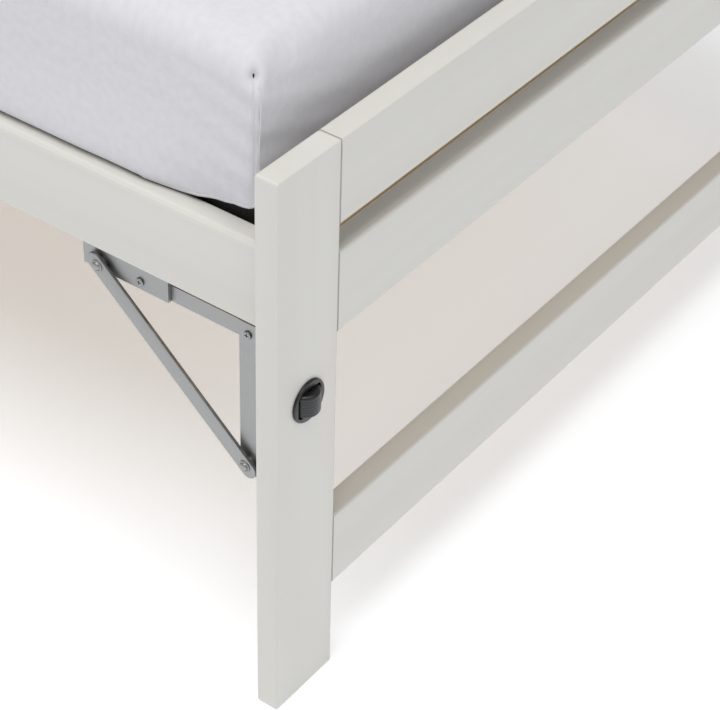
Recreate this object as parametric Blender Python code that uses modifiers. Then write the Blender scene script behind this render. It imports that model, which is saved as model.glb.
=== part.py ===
"""Trundle bed whose two end frames fold flat under the base.

The base is two side rails, two cross rails, two slat ledges and the slats, with a mattress on top.
Each end frame is two flat posts with three boards between them. At each corner a four-bar steel linkage
(rail bracket, link, post angle and strut) carries the end frame from upright to flat under the base, where
its four-corner rollers meet the floor.

Units are metres. +X runs to the foot end, +Y to the right side, +Z up, and the floor is at Z = 0. Both ends
and both sides are alike, so most places are given as `inward`, the distance from the end's outer face
towards the middle of the bed, and `inset`, the distance from the side's outer face.
"""

import math

import bmesh
import bpy
from mathutils import Matrix, Vector

# Overall sizes
BED_LENGTH = 1.970
BED_WIDTH = 0.960
POST_HEIGHT = 0.500
TOUCH_GAP = 0.0003  # left between pieces that touch

# End frames: flat posts with boards butted flush between them
POST_WIDTH = 0.070
POST_THICKNESS = 0.020
TOP_BOARD_HEIGHT = 0.070
SECOND_BOARD_HEIGHT = 0.070
BOARD_GAP = 0.024
STRETCHER_HEIGHT = 0.070
STRETCHER_FLOOR_GAP = 0.087
BOARD_ROUND = 0.002
BUTT_ROUND_SHARE = 0.15  # the ends of a butted board are hardly rounded, so the joint stays a fine line

# Base
RAIL_BELOW_POST_TOP = 0.068
RAIL_HEIGHT = 0.070
RAIL_THICKNESS = 0.020
RAIL_SETBACK = 0.012
RAIL_TOP_ROUND = 0.005
CROSS_RAIL_HEIGHT = 0.048
CROSS_RAIL_THICKNESS = 0.020
LEDGE_HEIGHT = 0.035
LEDGE_THICKNESS = 0.020
SLAT_COUNT = 11
SLAT_WIDTH = 0.090
SLAT_THICKNESS = 0.014
SLAT_END_CLEARANCE = 0.003
SLAT_ROUND = 0.002

# Mattress
MATTRESS_THICKNESS = 0.160
MATTRESS_END_CLEARANCE = 0.015
MATTRESS_SIDE_CLEARANCE = 0.002
MATTRESS_ROUND = 0.022

# Folding linkage
STEEL_THICKNESS = 0.003
STRIP_WIDTH = 0.014
LINK_LENGTH = 0.100  # between its two pivots
POST_PIVOT_SPACING = 0.120  # between the two pivots on the post angle
POST_PIVOT_INSET = 0.022  # the pivots lie this far from the post's inner face
LINK_END_OVERHANG = 0.002
STRUT_END_OVERHANG = 0.004
LINKAGE_BEHIND_RAIL_FACE = 0.008
SPACER_THICKNESS = 0.0019
SPACER_RADIUS = 0.006
BRACKET_FLANGE = 0.028
BRACKET_MARGIN_BEYOND_STRUT_PIVOT = 0.0175
BRACKET_MARGIN_BEYOND_LINK_PIVOT = 0.0265
ANGLE_FLANGE = 0.030
ANGLE_EDGE_MARGIN = 0.008
ANGLE_END_MARGIN = 0.010
SWING_CLEARANCE = 0.004  # between a turning strip's end and the flange above it

# Pivot pins and rivets
PIN_RADIUS = 0.0027
PIN_CLEARANCE = 0.0003
PIN_HEAD_RADIUS = 0.0035
PIN_HEAD_HEIGHT = 0.0014
PIN_TAIL_RADIUS = 0.0042
PIN_TAIL_HEIGHT = 0.0018
RIVET_RADIUS = 0.003
RIVET_DOME_RADIUS = 0.005
RIVET_DOME_HEIGHT = 0.0025

# Recessed rollers in the outer faces of the posts
ROLLER_HEIGHT = 0.296
ROLLER_WIDTH = 0.020
ROLLER_PROTRUSION = 0.0095
ROLLER_EDGE_ROUND = 0.0025
AXLE_RADIUS = 0.002
AXLE_CLEARANCE = 0.0003
POCKET_BACK = 0.003
CUP_FLOOR = 0.0015
CUP_WALL = 0.001
WINDOW_CORNER = 0.004
ROLLER_CLEARANCE = 0.0012
BEZEL_RIM = 0.0015
BEZEL_THICKNESS = 0.002

ROUND_STEPS = 20
PIN_STEPS = 12
WINDOW_STEPS = 3
ENDS = {"foot": 1, "head": -1}
SIDES = {"left": -1, "right": 1}

# Worked-out heights
rail_top = POST_HEIGHT - RAIL_BELOW_POST_TOP
rail_bottom = rail_top - RAIL_HEIGHT
ledge_top = rail_bottom + LEDGE_HEIGHT
slat_bottom = ledge_top + TOUCH_GAP
mattress_bottom = slat_bottom + SLAT_THICKNESS + TOUCH_GAP
second_board_top = POST_HEIGHT - TOP_BOARD_HEIGHT - BOARD_GAP

# Worked-out linkage. It folds flat because link and strut pivots then lie on one line:
# bracket spacing + strut length = link length + post pivot spacing.
strip_reach = STRIP_WIDTH / 2 + STRUT_END_OVERHANG
pivot_height = rail_bottom - TOUCH_GAP - STEEL_THICKNESS - SWING_CLEARANCE - strip_reach
bracket_spacing = LINK_LENGTH * POST_PIVOT_SPACING / (2 * LINK_LENGTH + POST_PIVOT_SPACING)
strut_length = LINK_LENGTH + POST_PIVOT_SPACING - bracket_spacing
post_pivot_inward = POST_THICKNESS + POST_PIVOT_INSET
link_pivot_inward = post_pivot_inward + LINK_LENGTH
strut_pivot_inward = link_pivot_inward + bracket_spacing
strut_rise = math.asin(POST_PIVOT_SPACING / strut_length)
lower_pivot_height = pivot_height - POST_PIVOT_SPACING

# Layers of the linkage, as insets from the side's outer face
plate_outer = RAIL_SETBACK + LINKAGE_BEHIND_RAIL_FACE
plate_inner = plate_outer + STEEL_THICKNESS
spacer_inner = plate_outer - TOUCH_GAP
strut_inner = spacer_inner - SPACER_THICKNESS
strut_outer = strut_inner - STEEL_THICKNESS
link_outer = plate_inner + TOUCH_GAP
link_inner = link_outer + STEEL_THICKNESS
hole_radius = PIN_RADIUS + PIN_CLEARANCE
rivet_hole_radius = RIVET_RADIUS + PIN_CLEARANCE

# Worked-out roller and its cup
pocket_depth = POST_THICKNESS - POCKET_BACK
cup_depth = pocket_depth - TOUCH_GAP
roller_room = cup_depth - CUP_FLOOR - ROLLER_CLEARANCE
roller_radius = (roller_room + ROLLER_PROTRUSION) / 2
roller_axis_depth = roller_radius - ROLLER_PROTRUSION
window_half_width = roller_radius + ROLLER_CLEARANCE
window_half_height = ROLLER_WIDTH / 2 + 0.5 * ROLLER_CLEARANCE
window_flat_width = window_half_width - WINDOW_CORNER
window_flat_height = window_half_height - WINDOW_CORNER
window_reach = WINDOW_CORNER + math.hypot(window_flat_width, window_flat_height)
cup_outer_radius = window_reach + CUP_WALL
pocket_radius = cup_outer_radius + TOUCH_GAP
bezel_radius = cup_outer_radius + BEZEL_RIM
axle_half_length = cup_outer_radius - TOUCH_GAP


def clear_scene():
    for item in list(bpy.data.objects):
        bpy.data.objects.remove(item, do_unlink=True)


def new_collection(name):
    collection = bpy.data.collections.new(name)
    bpy.context.scene.collection.children.link(collection)
    return collection


def new_material(name, colour, roughness, metallic=0.0):
    material = bpy.data.materials.new(name)
    material.use_nodes = True
    shader = material.node_tree.nodes["Principled BSDF"]
    shader.inputs["Base Color"].default_value = (*colour, 1.0)
    shader.inputs["Roughness"].default_value = roughness
    shader.inputs["Metallic"].default_value = metallic
    return material


clear_scene()
bed = new_collection("trundle_bed")
cutters = new_collection("cutters")
# Satin white paint on wood, zinc-plated steel, black nylon and white cotton over foam
PAINT = new_material("painted_wood", (0.72, 0.71, 0.67), 0.45)
BARE_WOOD = new_material("bare_pine", (0.62, 0.44, 0.26), 0.6)
STEEL = new_material("zinc_plated_steel", (0.42, 0.42, 0.41), 0.4, 1.0)
NYLON = new_material("black_nylon", (0.02, 0.02, 0.02), 0.45)
COTTON = new_material("white_cotton", (0.66, 0.66, 0.68), 0.85)


def inward_x(end, inward):
    """X of a point `inward` from the outer face of an end."""
    return ENDS[end] * (BED_LENGTH / 2 - inward)


def inset_y(side, inset):
    """Y of a point `inset` from the outer face of a side."""
    return SIDES[side] * (BED_WIDTH / 2 - inset)


def add_object(name, mesh, location, collection=None, parent=None):
    """A new object with its origin at `location` in world space."""
    made = bpy.data.objects.new(name, mesh)
    (collection or bed).objects.link(made)
    made.location = location
    if parent:
        made.parent = parent
        made.location = Vector(location) - parent.location
    return made


def add_axis(name, location):
    """An empty that marks a joint's axis and carries what turns about it."""
    empty = bpy.data.objects.new(name, None)
    bed.objects.link(empty)
    empty.location = location
    empty.empty_display_size = 0.05
    return empty


def finish(piece, material):
    piece.data.materials.clear()
    piece.data.materials.append(material)
    piece.data.shade_smooth()
    piece.data.set_sharp_from_angle(angle=math.radians(35))
    return piece


def mesh_of(work, name):
    mesh = bpy.data.meshes.new(name)
    bmesh.ops.recalc_face_normals(work, faces=work.faces)
    work.to_mesh(mesh)
    work.free()
    return mesh


def board(name, size, centre, material, radius, edge_share=None, parent=None, segments=2):
    """A planed board: a box with its edges rounded.

    `edge_share` gives an edge's share of the radius from its direction and middle, in the board's own frame.
    """
    work = bmesh.new()
    bmesh.ops.create_cube(work, size=1.0, matrix=Matrix.Diagonal((*size, 1.0)))
    mesh = mesh_of(work, name)
    weights = mesh.attributes.new("bevel_weight_edge", "FLOAT", "EDGE")
    for edge in mesh.edges:
        start, end = (mesh.vertices[index].co for index in edge.vertices)
        share = edge_share((end - start).normalized(), (start + end) / 2) if edge_share else 1.0
        weights.data[edge.index].value = share
    piece = add_object(name, mesh, centre, parent=parent)
    bevel = piece.modifiers.new("rounded_edges", "BEVEL")
    bevel.limit_method = "WEIGHT"
    bevel.width = radius
    bevel.segments = segments
    return finish(piece, material)


def butted_along_y(direction, middle):
    """Full rounding along a board that runs across the bed, and hardly any at its two ends."""
    return 1.0 if abs(direction.y) > 0.5 else BUTT_ROUND_SHARE


def turned(name, profile, location, axis, material=None, steps=ROUND_STEPS, parent=None, collection=None):
    """A solid of revolution from (radius, height) points, listed from the top of its axis to the bottom.

    The heights run along `axis`, a unit vector.
    """
    mesh = bpy.data.meshes.new(name)
    points = [(radius, 0.0, height) for radius, height in profile]
    mesh.from_pydata(points, [(i, i + 1) for i in range(len(points) - 1)], [])
    piece = add_object(name, mesh, location, collection, parent)
    piece.rotation_mode = "QUATERNION"
    piece.rotation_quaternion = Vector((0.0, 0.0, 1.0)).rotation_difference(Vector(axis))
    spin = piece.modifiers.new("turned", "SCREW")
    spin.steps = steps
    spin.render_steps = steps
    spin.use_merge_vertices = True
    spin.merge_threshold = 0.0001
    if material:
        finish(piece, material)
    return piece


def cylinder_cutter(name, radius, start, stop, steps=PIN_STEPS):
    """A cutter along the line from `start` to `stop`."""
    line = Vector(stop) - Vector(start)
    half = line.length / 2
    profile = [(0.0, half), (radius, half), (radius, -half), (0.0, -half)]
    middle = (Vector(start) + Vector(stop)) / 2
    cutter = turned(name, profile, middle, line.normalized(), None, steps, collection=cutters)
    cutter.hide_render = True
    cutter.display_type = "WIRE"
    return cutter


def window_cutter(name, depth, centre):
    """A box for the roller's window. Its four edges along the depth are rounded."""
    size = (depth, 2 * window_half_width, 2 * window_half_height)
    work = bmesh.new()
    bmesh.ops.create_cube(work, size=1.0, matrix=Matrix.Diagonal((*size, 1.0)))
    deep_edges = [edge for edge in work.edges if abs(edge.verts[0].co.x - edge.verts[1].co.x) > depth / 2]
    rounding = {"offset": WINDOW_CORNER, "segments": WINDOW_STEPS, "profile": 0.5, "affect": "EDGES"}
    bmesh.ops.bevel(work, geom=deep_edges, **rounding)
    cutter = add_object(name, mesh_of(work, name), centre, cutters)
    cutter.hide_render = True
    cutter.display_type = "WIRE"
    return cutter


def cut(piece, cutter, operation="DIFFERENCE"):
    boolean = piece.modifiers.new(cutter.name, "BOOLEAN")
    boolean.operation = operation
    boolean.object = cutter
    boolean.solver = "EXACT"


def add_spline(curve, points):
    spline = curve.splines.new("POLY")
    spline.points.add(len(points) - 1)
    for point, (first, second) in zip(spline.points, points):
        point.co = (first, second, 0.0, 1.0)
    spline.use_cyclic_u = True


def arc(centre, radius, start_deg, stop_deg, steps):
    angles = [math.radians(start_deg + (stop_deg - start_deg) * i / steps) for i in range(steps + 1)]
    return [(centre[0] + radius * math.cos(a), centre[1] + radius * math.sin(a)) for a in angles]


def flat_plate(name, outlines, thickness, origin, first, second, material, parent=None):
    """A plate in the plane of two world directions. Its first outline is the edge, the others are holes."""
    curve = bpy.data.curves.new(name, "CURVE")
    curve.dimensions = "2D"
    curve.fill_mode = "BOTH"
    curve.extrude = thickness / 2
    for outline in outlines:
        add_spline(curve, outline)
    drawn = bpy.data.objects.new(name + "_outline", curve)
    bed.objects.link(drawn)
    bpy.context.view_layer.update()
    mesh = bpy.data.meshes.new_from_object(drawn.evaluated_get(bpy.context.evaluated_depsgraph_get()))
    bpy.data.objects.remove(drawn, do_unlink=True)
    bpy.data.curves.remove(curve)
    first = Vector(first)
    second = Vector(second)
    turn = Matrix((first, second, first.cross(second))).transposed()
    work = bmesh.new()
    work.from_mesh(mesh)
    bpy.data.meshes.remove(mesh)
    bmesh.ops.remove_doubles(work, verts=work.verts, dist=1e-6)
    bmesh.ops.transform(work, matrix=turn.to_4x4(), verts=work.verts)
    piece = add_object(name, mesh_of(work, name), origin, parent=parent)
    return finish(piece, material)


def strip_outline(length, overhang):
    """A flat strip from pivot to pivot along the first direction, its two ends fully rounded."""
    radius = STRIP_WIDTH / 2
    return (
        arc((length + overhang, 0.0), radius, -90, 90, ROUND_STEPS // 2)
        + arc((-overhang, 0.0), radius, 90, 270, ROUND_STEPS // 2)
    )


def hole_outline(place, radius):
    return arc((place, 0.0), radius, 0, 360 * (1 - 1 / PIN_STEPS), PIN_STEPS - 1)


def angle_outline(first_leg, second_leg):
    """The L section of a bent steel angle, its outer corner at the origin, with a small round at the bend."""
    bend = STEEL_THICKNESS
    corner = arc((bend, bend), bend, 270, 180, 4)
    return (
        [(first_leg, 0.0)]
        + corner
        + [(0.0, second_leg), (STEEL_THICKNESS, second_leg), (STEEL_THICKNESS, STEEL_THICKNESS)]
        + [(first_leg, STEEL_THICKNESS)]
    )


def make_end_frame(end):
    """Two posts, three boards, and what is fixed to them. They hang on the pivots in the post angles."""
    hang = add_axis(f"{end}_frame_pivot", (inward_x(end, post_pivot_inward), 0.0, pivot_height))
    middle_x = inward_x(end, POST_THICKNESS / 2)
    for side in SIDES:
        size = (POST_THICKNESS, POST_WIDTH, POST_HEIGHT)
        centre = (middle_x, inset_y(side, POST_WIDTH / 2), POST_HEIGHT / 2)
        post = board(f"{end}_{side}_post", size, centre, PAINT, BOARD_ROUND, parent=hang)
        pocket_from = (inward_x(end, -POST_THICKNESS), centre[1], ROLLER_HEIGHT)
        pocket_to = (inward_x(end, pocket_depth), centre[1], ROLLER_HEIGHT)
        name = f"{end}_{side}_roller_pocket"
        cut(post, cylinder_cutter(name, pocket_radius, pocket_from, pocket_to, ROUND_STEPS))
        make_roller(end, side, hang)
        make_post_angle(end, side, hang)
    length = BED_WIDTH - 2 * POST_WIDTH - 2 * TOUCH_GAP
    levels = {
        "top_board": (POST_HEIGHT - TOP_BOARD_HEIGHT, TOP_BOARD_HEIGHT),
        "second_board": (second_board_top - SECOND_BOARD_HEIGHT, SECOND_BOARD_HEIGHT),
        "stretcher": (STRETCHER_FLOOR_GAP, STRETCHER_HEIGHT),
    }
    for name, (low, height) in levels.items():
        size = (POST_THICKNESS, length, height)
        centre = (middle_x, 0.0, low + height / 2)
        board(f"{end}_{name}", size, centre, PAINT, BOARD_ROUND, butted_along_y, parent=hang)


def make_roller(end, side, hang):
    """A nylon roller on an upright axle, in a round cup with a rounded window, sunk into the post's face."""
    outward = (ENDS[end], 0.0, 0.0)
    centre_y = inset_y(side, POST_WIDTH / 2)
    face = (inward_x(end, 0.0), centre_y, ROLLER_HEIGHT)
    rim = TOUCH_GAP + BEZEL_THICKNESS
    cup_profile = [
        (0.0, rim),
        (bezel_radius - BEZEL_THICKNESS / 2, rim),
        (bezel_radius, rim - BEZEL_THICKNESS / 2),
        (bezel_radius, TOUCH_GAP),
        (cup_outer_radius, TOUCH_GAP),
        (cup_outer_radius, -cup_depth),
        (0.0, -cup_depth),
    ]
    housing = turned(f"{end}_{side}_roller_housing", cup_profile, face, outward, NYLON, parent=hang)
    floor = CUP_FLOOR - cup_depth
    mouth = rim + BEZEL_THICKNESS
    window_centre = (inward_x(end, -(floor + mouth) / 2), centre_y, ROLLER_HEIGHT)
    cut(housing, window_cutter(f"{end}_{side}_roller_window", mouth - floor, window_centre))
    axle = Vector((inward_x(end, roller_axis_depth), centre_y, ROLLER_HEIGHT))
    reach = Vector((0.0, 0.0, cup_outer_radius + TOUCH_GAP))
    name = f"{end}_{side}_axle_hole"
    cut(housing, cylinder_cutter(name, AXLE_RADIUS + AXLE_CLEARANCE, axle - reach, axle + reach))
    half = ROLLER_WIDTH / 2
    upper = [
        (0.0, axle_half_length),
        (AXLE_RADIUS, axle_half_length),
        (AXLE_RADIUS, half),
        (roller_radius - ROLLER_EDGE_ROUND, half),
        (roller_radius, half - ROLLER_EDGE_ROUND),
    ]
    profile = upper + [(radius, -height) for radius, height in reversed(upper)]
    turned(f"{end}_{side}_roller", profile, axle, (0.0, 0.0, 1.0), NYLON, parent=hang)


def make_post_angle(end, side, hang):
    """A steel angle on the post's inner face. Its free leg carries the two pivots of the end frame."""
    length = POST_PIVOT_SPACING + STRIP_WIDTH / 2 + STRUT_END_OVERHANG + ANGLE_END_MARGIN
    bottom = lower_pivot_height - strip_reach
    origin = (
        inward_x(end, POST_THICKNESS + TOUCH_GAP),
        inset_y(side, plate_outer),
        bottom + length / 2,
    )
    free_leg = POST_PIVOT_INSET + ANGLE_EDGE_MARGIN - TOUCH_GAP
    inwards = (-ENDS[end], 0.0, 0.0)
    across = (0.0, -SIDES[side], 0.0)
    outline = angle_outline(free_leg, ANGLE_FLANGE)
    angle = flat_plate(f"{end}_{side}_post_angle", [outline], length, origin, inwards, across, STEEL, hang)
    x = inward_x(end, post_pivot_inward)
    for name, height, radius in (
        ("upper", pivot_height, hole_radius),
        ("lower", lower_pivot_height, rivet_hole_radius),
    ):
        start = (x, inset_y(side, plate_outer - STEEL_THICKNESS), height)
        stop = (x, inset_y(side, plate_inner + STEEL_THICKNESS), height)
        cut(angle, cylinder_cutter(f"{end}_{side}_angle_{name}_hole", radius, start, stop))
    make_pin(f"{end}_{side}_post_pivot_pin", end, side, post_pivot_inward, hang)


def make_pin(name, end, side, inward, parent=None):
    """A headed pin through the outer steel layer and the link behind it, riveted over at the back."""
    head_face = TOUCH_GAP + PIN_HEAD_HEIGHT
    back = -2 * STEEL_THICKNESS - 2 * TOUCH_GAP
    profile = [
        (0.0, head_face),
        (PIN_HEAD_RADIUS * 0.8, head_face),
        (PIN_HEAD_RADIUS, head_face - 0.4 * PIN_HEAD_HEIGHT),
        (PIN_HEAD_RADIUS, TOUCH_GAP),
        (PIN_RADIUS, TOUCH_GAP),
        (PIN_RADIUS, back),
        (PIN_TAIL_RADIUS, back),
        (PIN_TAIL_RADIUS * 0.8, back - PIN_TAIL_HEIGHT),
        (0.0, back - PIN_TAIL_HEIGHT),
    ]
    place = (inward_x(end, inward), inset_y(side, plate_outer), pivot_height)
    return turned(name, profile, place, (0.0, SIDES[side], 0.0), STEEL, PIN_STEPS, parent)


def make_rail_bracket(end, side):
    """A steel angle screwed under the rail. Its hanging leg carries the upper pivots of link and strut."""
    near = link_pivot_inward - BRACKET_MARGIN_BEYOND_LINK_PIVOT
    far = strut_pivot_inward + BRACKET_MARGIN_BEYOND_STRUT_PIVOT
    drop = rail_bottom - TOUCH_GAP - (pivot_height - STRIP_WIDTH / 2)
    top = rail_bottom - TOUCH_GAP
    origin = (inward_x(end, (near + far) / 2), inset_y(side, plate_outer), top)
    across = (0.0, -SIDES[side], 0.0)
    down = (0.0, 0.0, -1.0)
    outline = angle_outline(BRACKET_FLANGE, drop)
    bracket = flat_plate(f"{end}_{side}_rail_bracket", [outline], far - near, origin, across, down, STEEL)
    for name, inward, radius in (
        ("link", link_pivot_inward, hole_radius),
        ("strut", strut_pivot_inward, rivet_hole_radius),
    ):
        x = inward_x(end, inward)
        start = (x, inset_y(side, plate_outer - STEEL_THICKNESS), pivot_height)
        stop = (x, inset_y(side, plate_inner + STEEL_THICKNESS), pivot_height)
        cut(bracket, cylinder_cutter(f"{end}_{side}_bracket_{name}_hole", radius, start, stop))
    make_pin(f"{end}_{side}_rail_pivot_pin", end, side, link_pivot_inward)


def make_link(end, side):
    """The short link behind the bracket. Its origin is on its pivot in the bracket."""
    place = (inward_x(end, link_pivot_inward), inset_y(side, (link_outer + link_inner) / 2), pivot_height)
    outlines = [
        strip_outline(LINK_LENGTH, LINK_END_OVERHANG),
        hole_outline(0.0, hole_radius),
        hole_outline(LINK_LENGTH, hole_radius),
    ]
    outwards = (ENDS[end], 0.0, 0.0)
    flat_plate(f"{end}_{side}_link", outlines, STEEL_THICKNESS, place, outwards, (0.0, 0.0, 1.0), STEEL)


def rivet_profile(tail):
    """A domed rivet with its spacer washer, along the outward axis from the strut's outer face."""
    spacer_top = -STEEL_THICKNESS + TOUCH_GAP
    spacer_bottom = -STEEL_THICKNESS - SPACER_THICKNESS
    dome_steps = 3
    dome = []
    for step in range(dome_steps + 1):
        turn = math.pi / 2 * step / dome_steps
        dome.append((RIVET_DOME_RADIUS * math.sin(turn), RIVET_DOME_HEIGHT * math.cos(turn)))
    shank = [
        (RIVET_DOME_RADIUS, -TOUCH_GAP),
        (RIVET_RADIUS, -TOUCH_GAP),
        (RIVET_RADIUS, spacer_top),
        (SPACER_RADIUS, spacer_top),
        (SPACER_RADIUS, spacer_bottom),
    ]
    if tail:
        shank += [(RIVET_RADIUS, spacer_bottom), (RIVET_RADIUS, spacer_bottom - tail)]
    return dome + shank + [(0.0, spacer_bottom - tail)]


def make_strut(end, side):
    """The long strut in front of the brackets, with its two rivets. Its origin is on its upper pivot."""
    outer = inset_y(side, strut_outer)
    place = (inward_x(end, strut_pivot_inward), inset_y(side, (strut_outer + strut_inner) / 2), pivot_height)
    along = Vector((ENDS[end] * math.cos(strut_rise), 0.0, -math.sin(strut_rise)))
    above = Vector((ENDS[end] * math.sin(strut_rise), 0.0, math.cos(strut_rise)))
    outline = strip_outline(strut_length, STRUT_END_OVERHANG)
    strut = flat_plate(f"{end}_{side}_strut", [outline], STEEL_THICKNESS, place, along, above, STEEL)
    outward = (0.0, SIDES[side], 0.0)
    through_bracket = STEEL_THICKNESS + TOUCH_GAP - PIN_CLEARANCE
    upper = (inward_x(end, strut_pivot_inward), outer, pivot_height)
    lower = (inward_x(end, post_pivot_inward), outer, lower_pivot_height)
    for name, centre, tail in (("upper", upper, through_bracket), ("lower", lower, 0.0)):
        rivet_name = f"{end}_{side}_{name}_rivet"
        rivet = turned(rivet_name, rivet_profile(tail), centre, outward, None, PIN_STEPS, collection=cutters)
        rivet.hide_render = True
        rivet.display_type = "WIRE"
        cut(strut, rivet, "UNION")


def make_base():
    rail_length = BED_LENGTH - 2 * (POST_THICKNESS + TOUCH_GAP)
    rail_inner = RAIL_SETBACK + RAIL_THICKNESS
    inner_width = BED_WIDTH - 2 * rail_inner
    cross_inner = POST_THICKNESS + TOUCH_GAP + CROSS_RAIL_THICKNESS
    ledge_length = BED_LENGTH - 2 * (cross_inner + TOUCH_GAP)
    for side, sign in SIDES.items():

        def rail_round(direction, middle, sign=sign):
            if abs(direction.x) < 0.5:
                return BUTT_ROUND_SHARE
            top_outer = middle.z > 0 and middle.y * sign > 0
            return 1.0 if top_outer else BOARD_ROUND / RAIL_TOP_ROUND

        size = (rail_length, RAIL_THICKNESS, RAIL_HEIGHT)
        centre = (0.0, inset_y(side, RAIL_SETBACK + RAIL_THICKNESS / 2), rail_bottom + RAIL_HEIGHT / 2)
        board(f"{side}_side_rail", size, centre, PAINT, RAIL_TOP_ROUND, rail_round, segments=3)
        size = (ledge_length, LEDGE_THICKNESS, LEDGE_HEIGHT)
        inset = rail_inner + TOUCH_GAP + LEDGE_THICKNESS / 2
        centre = (0.0, inset_y(side, inset), rail_bottom + LEDGE_HEIGHT / 2)
        board(f"{side}_slat_ledge", size, centre, PAINT, SLAT_ROUND, segments=1)
    for end in ENDS:
        size = (CROSS_RAIL_THICKNESS, inner_width - 2 * TOUCH_GAP, CROSS_RAIL_HEIGHT)
        inward = POST_THICKNESS + TOUCH_GAP + CROSS_RAIL_THICKNESS / 2
        centre = (inward_x(end, inward), 0.0, rail_bottom + CROSS_RAIL_HEIGHT / 2)
        board(f"{end}_cross_rail", size, centre, PAINT, SLAT_ROUND, butted_along_y, segments=1)
    slat_size = (SLAT_WIDTH, inner_width - 2 * SLAT_END_CLEARANCE, SLAT_THICKNESS)
    slat_space = (ledge_length - SLAT_COUNT * SLAT_WIDTH) / (SLAT_COUNT + 1)
    for index in range(SLAT_COUNT):
        x = -ledge_length / 2 + slat_space + SLAT_WIDTH / 2 + index * (slat_space + SLAT_WIDTH)
        centre = (x, 0.0, slat_bottom + SLAT_THICKNESS / 2)
        board(f"slat_{index + 1:02d}", slat_size, centre, BARE_WOOD, SLAT_ROUND, segments=1)
    length = BED_LENGTH - 2 * (POST_THICKNESS + MATTRESS_END_CLEARANCE)
    width = inner_width - 2 * MATTRESS_SIDE_CLEARANCE
    centre = (0.0, 0.0, mattress_bottom + MATTRESS_THICKNESS / 2)
    board("mattress", (length, width, MATTRESS_THICKNESS), centre, COTTON, MATTRESS_ROUND, segments=4)


make_base()
for end_name in ENDS:
    make_end_frame(end_name)
    for side_name in SIDES:
        make_rail_bracket(end_name, side_name)
        make_link(end_name, side_name)
        make_strut(end_name, side_name)
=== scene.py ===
# %% [markdown]
# # Folding trundle bed: the looks
#
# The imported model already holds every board, strip, rivet and roller at its real size, and the bodies
# that fold. This lesson gives each of them the finish of the real bed and adds what the working model
# leaves out: the padded mattress in its dark cover, the fitted sheet and the screws.
# Everything is in metres. +X runs to the foot end, +Y to the bed's right side and +Z up.

import math

import bmesh
import bpy
import numpy as np
from mathutils import Matrix, Vector, noise


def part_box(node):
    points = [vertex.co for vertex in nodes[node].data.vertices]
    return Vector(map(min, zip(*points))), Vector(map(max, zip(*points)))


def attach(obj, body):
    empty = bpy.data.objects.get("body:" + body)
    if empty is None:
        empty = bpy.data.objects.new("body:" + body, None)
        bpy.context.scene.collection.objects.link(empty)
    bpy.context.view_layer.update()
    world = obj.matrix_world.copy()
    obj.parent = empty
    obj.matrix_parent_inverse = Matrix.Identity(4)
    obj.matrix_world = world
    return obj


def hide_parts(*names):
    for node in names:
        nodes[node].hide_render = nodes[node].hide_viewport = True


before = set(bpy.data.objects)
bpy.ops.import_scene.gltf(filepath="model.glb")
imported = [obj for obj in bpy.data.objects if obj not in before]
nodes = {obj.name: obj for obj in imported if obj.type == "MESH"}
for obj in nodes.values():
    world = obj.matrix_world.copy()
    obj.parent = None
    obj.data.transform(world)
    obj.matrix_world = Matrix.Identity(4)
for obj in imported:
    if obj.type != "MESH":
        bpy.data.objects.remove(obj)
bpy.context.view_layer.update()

# %% [markdown]
# ## Sizes that the later steps share
#
# Places could be typed in as numbers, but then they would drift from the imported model. They are read
# from the boxes of its nodes instead, so a piece always lands on the board or rail it belongs to. The
# four corners are alike: `end` is +1 at the foot and -1 at the head, `side` is -1 left and +1 right.

# %% Read the places from the nodes
def box_of(node):
    """The lowest and the highest corner of a node."""
    return [Vector(corner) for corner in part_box(node)]


ENDS = {"foot": 1, "head": -1}
SIDES = {"left": -1, "right": 1}

end_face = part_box("foot_left_post")[1][0]
side_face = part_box("right_side_rail")[1][1] + 0.012
rail_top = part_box("left_side_rail")[1][2]
rail_inner = abs(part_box("left_side_rail")[1][1])
slat_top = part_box("slat_01")[1][2]
mattress_low, mattress_high = box_of("mattress")
print(f"end face {end_face:.4f}, side face {side_face:.4f}, rail top {rail_top:.4f}")
print("mattress", mattress_low[:], mattress_high[:])


def corners():
    """Yields the name and the signs of each corner of the bed."""
    for end_name, end in ENDS.items():
        for side_name, side in SIDES.items():
            yield end_name, side_name, end, side


# %% [markdown]
# ## Camera, floor and light
#
# The bed is seen from above and outside its foot-left corner, through a long lens, so that upright posts
# stay nearly upright. A camera can be aimed with a Track To constraint, but a matrix made from a viewing
# direction and an up direction also keeps the slight tilt, and leaves no constraint behind.

# %% Camera
CAMERA_FROM_CORNER = Vector((0.7438, -0.9408, 1.3275))
VIEW_DIRECTION = Vector((-0.45336, 0.63285, -0.62767)).normalized()
VIEW_UP = Vector((-0.39060, 0.49193, 0.77810))


def camera_matrix(place, direction, up):
    right = direction.cross(up).normalized()
    true_up = right.cross(direction)
    turn = Matrix((right, true_up, -direction)).transposed()
    return Matrix.Translation(place) @ turn.to_4x4()


camera_data = bpy.data.cameras.new("corner_camera")
camera_data.sensor_width = 36.0
camera_data.lens = 112.4
camera_data.clip_start = 0.05
camera_data.clip_end = 60.0
camera = bpy.data.objects.new("corner_camera", camera_data)
corner_foot = Vector((end_face, -side_face, 0.0))
camera.matrix_world = camera_matrix(corner_foot + CAMERA_FROM_CORNER, VIEW_DIRECTION, VIEW_UP)
bpy.context.scene.collection.objects.link(camera)
bpy.context.scene.camera = camera
bpy.context.scene.view_settings.view_transform = "Standard"
print("camera at", camera.matrix_world.translation[:])


# %% [markdown]
# Two small helpers carry all the materials. Colours are written as sRGB hex values, as on a paint card,
# and one function turns them into the linear values that the shader works in. The other adds one node,
# whose inputs are either numbers or the outputs of nodes made before it.

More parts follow.
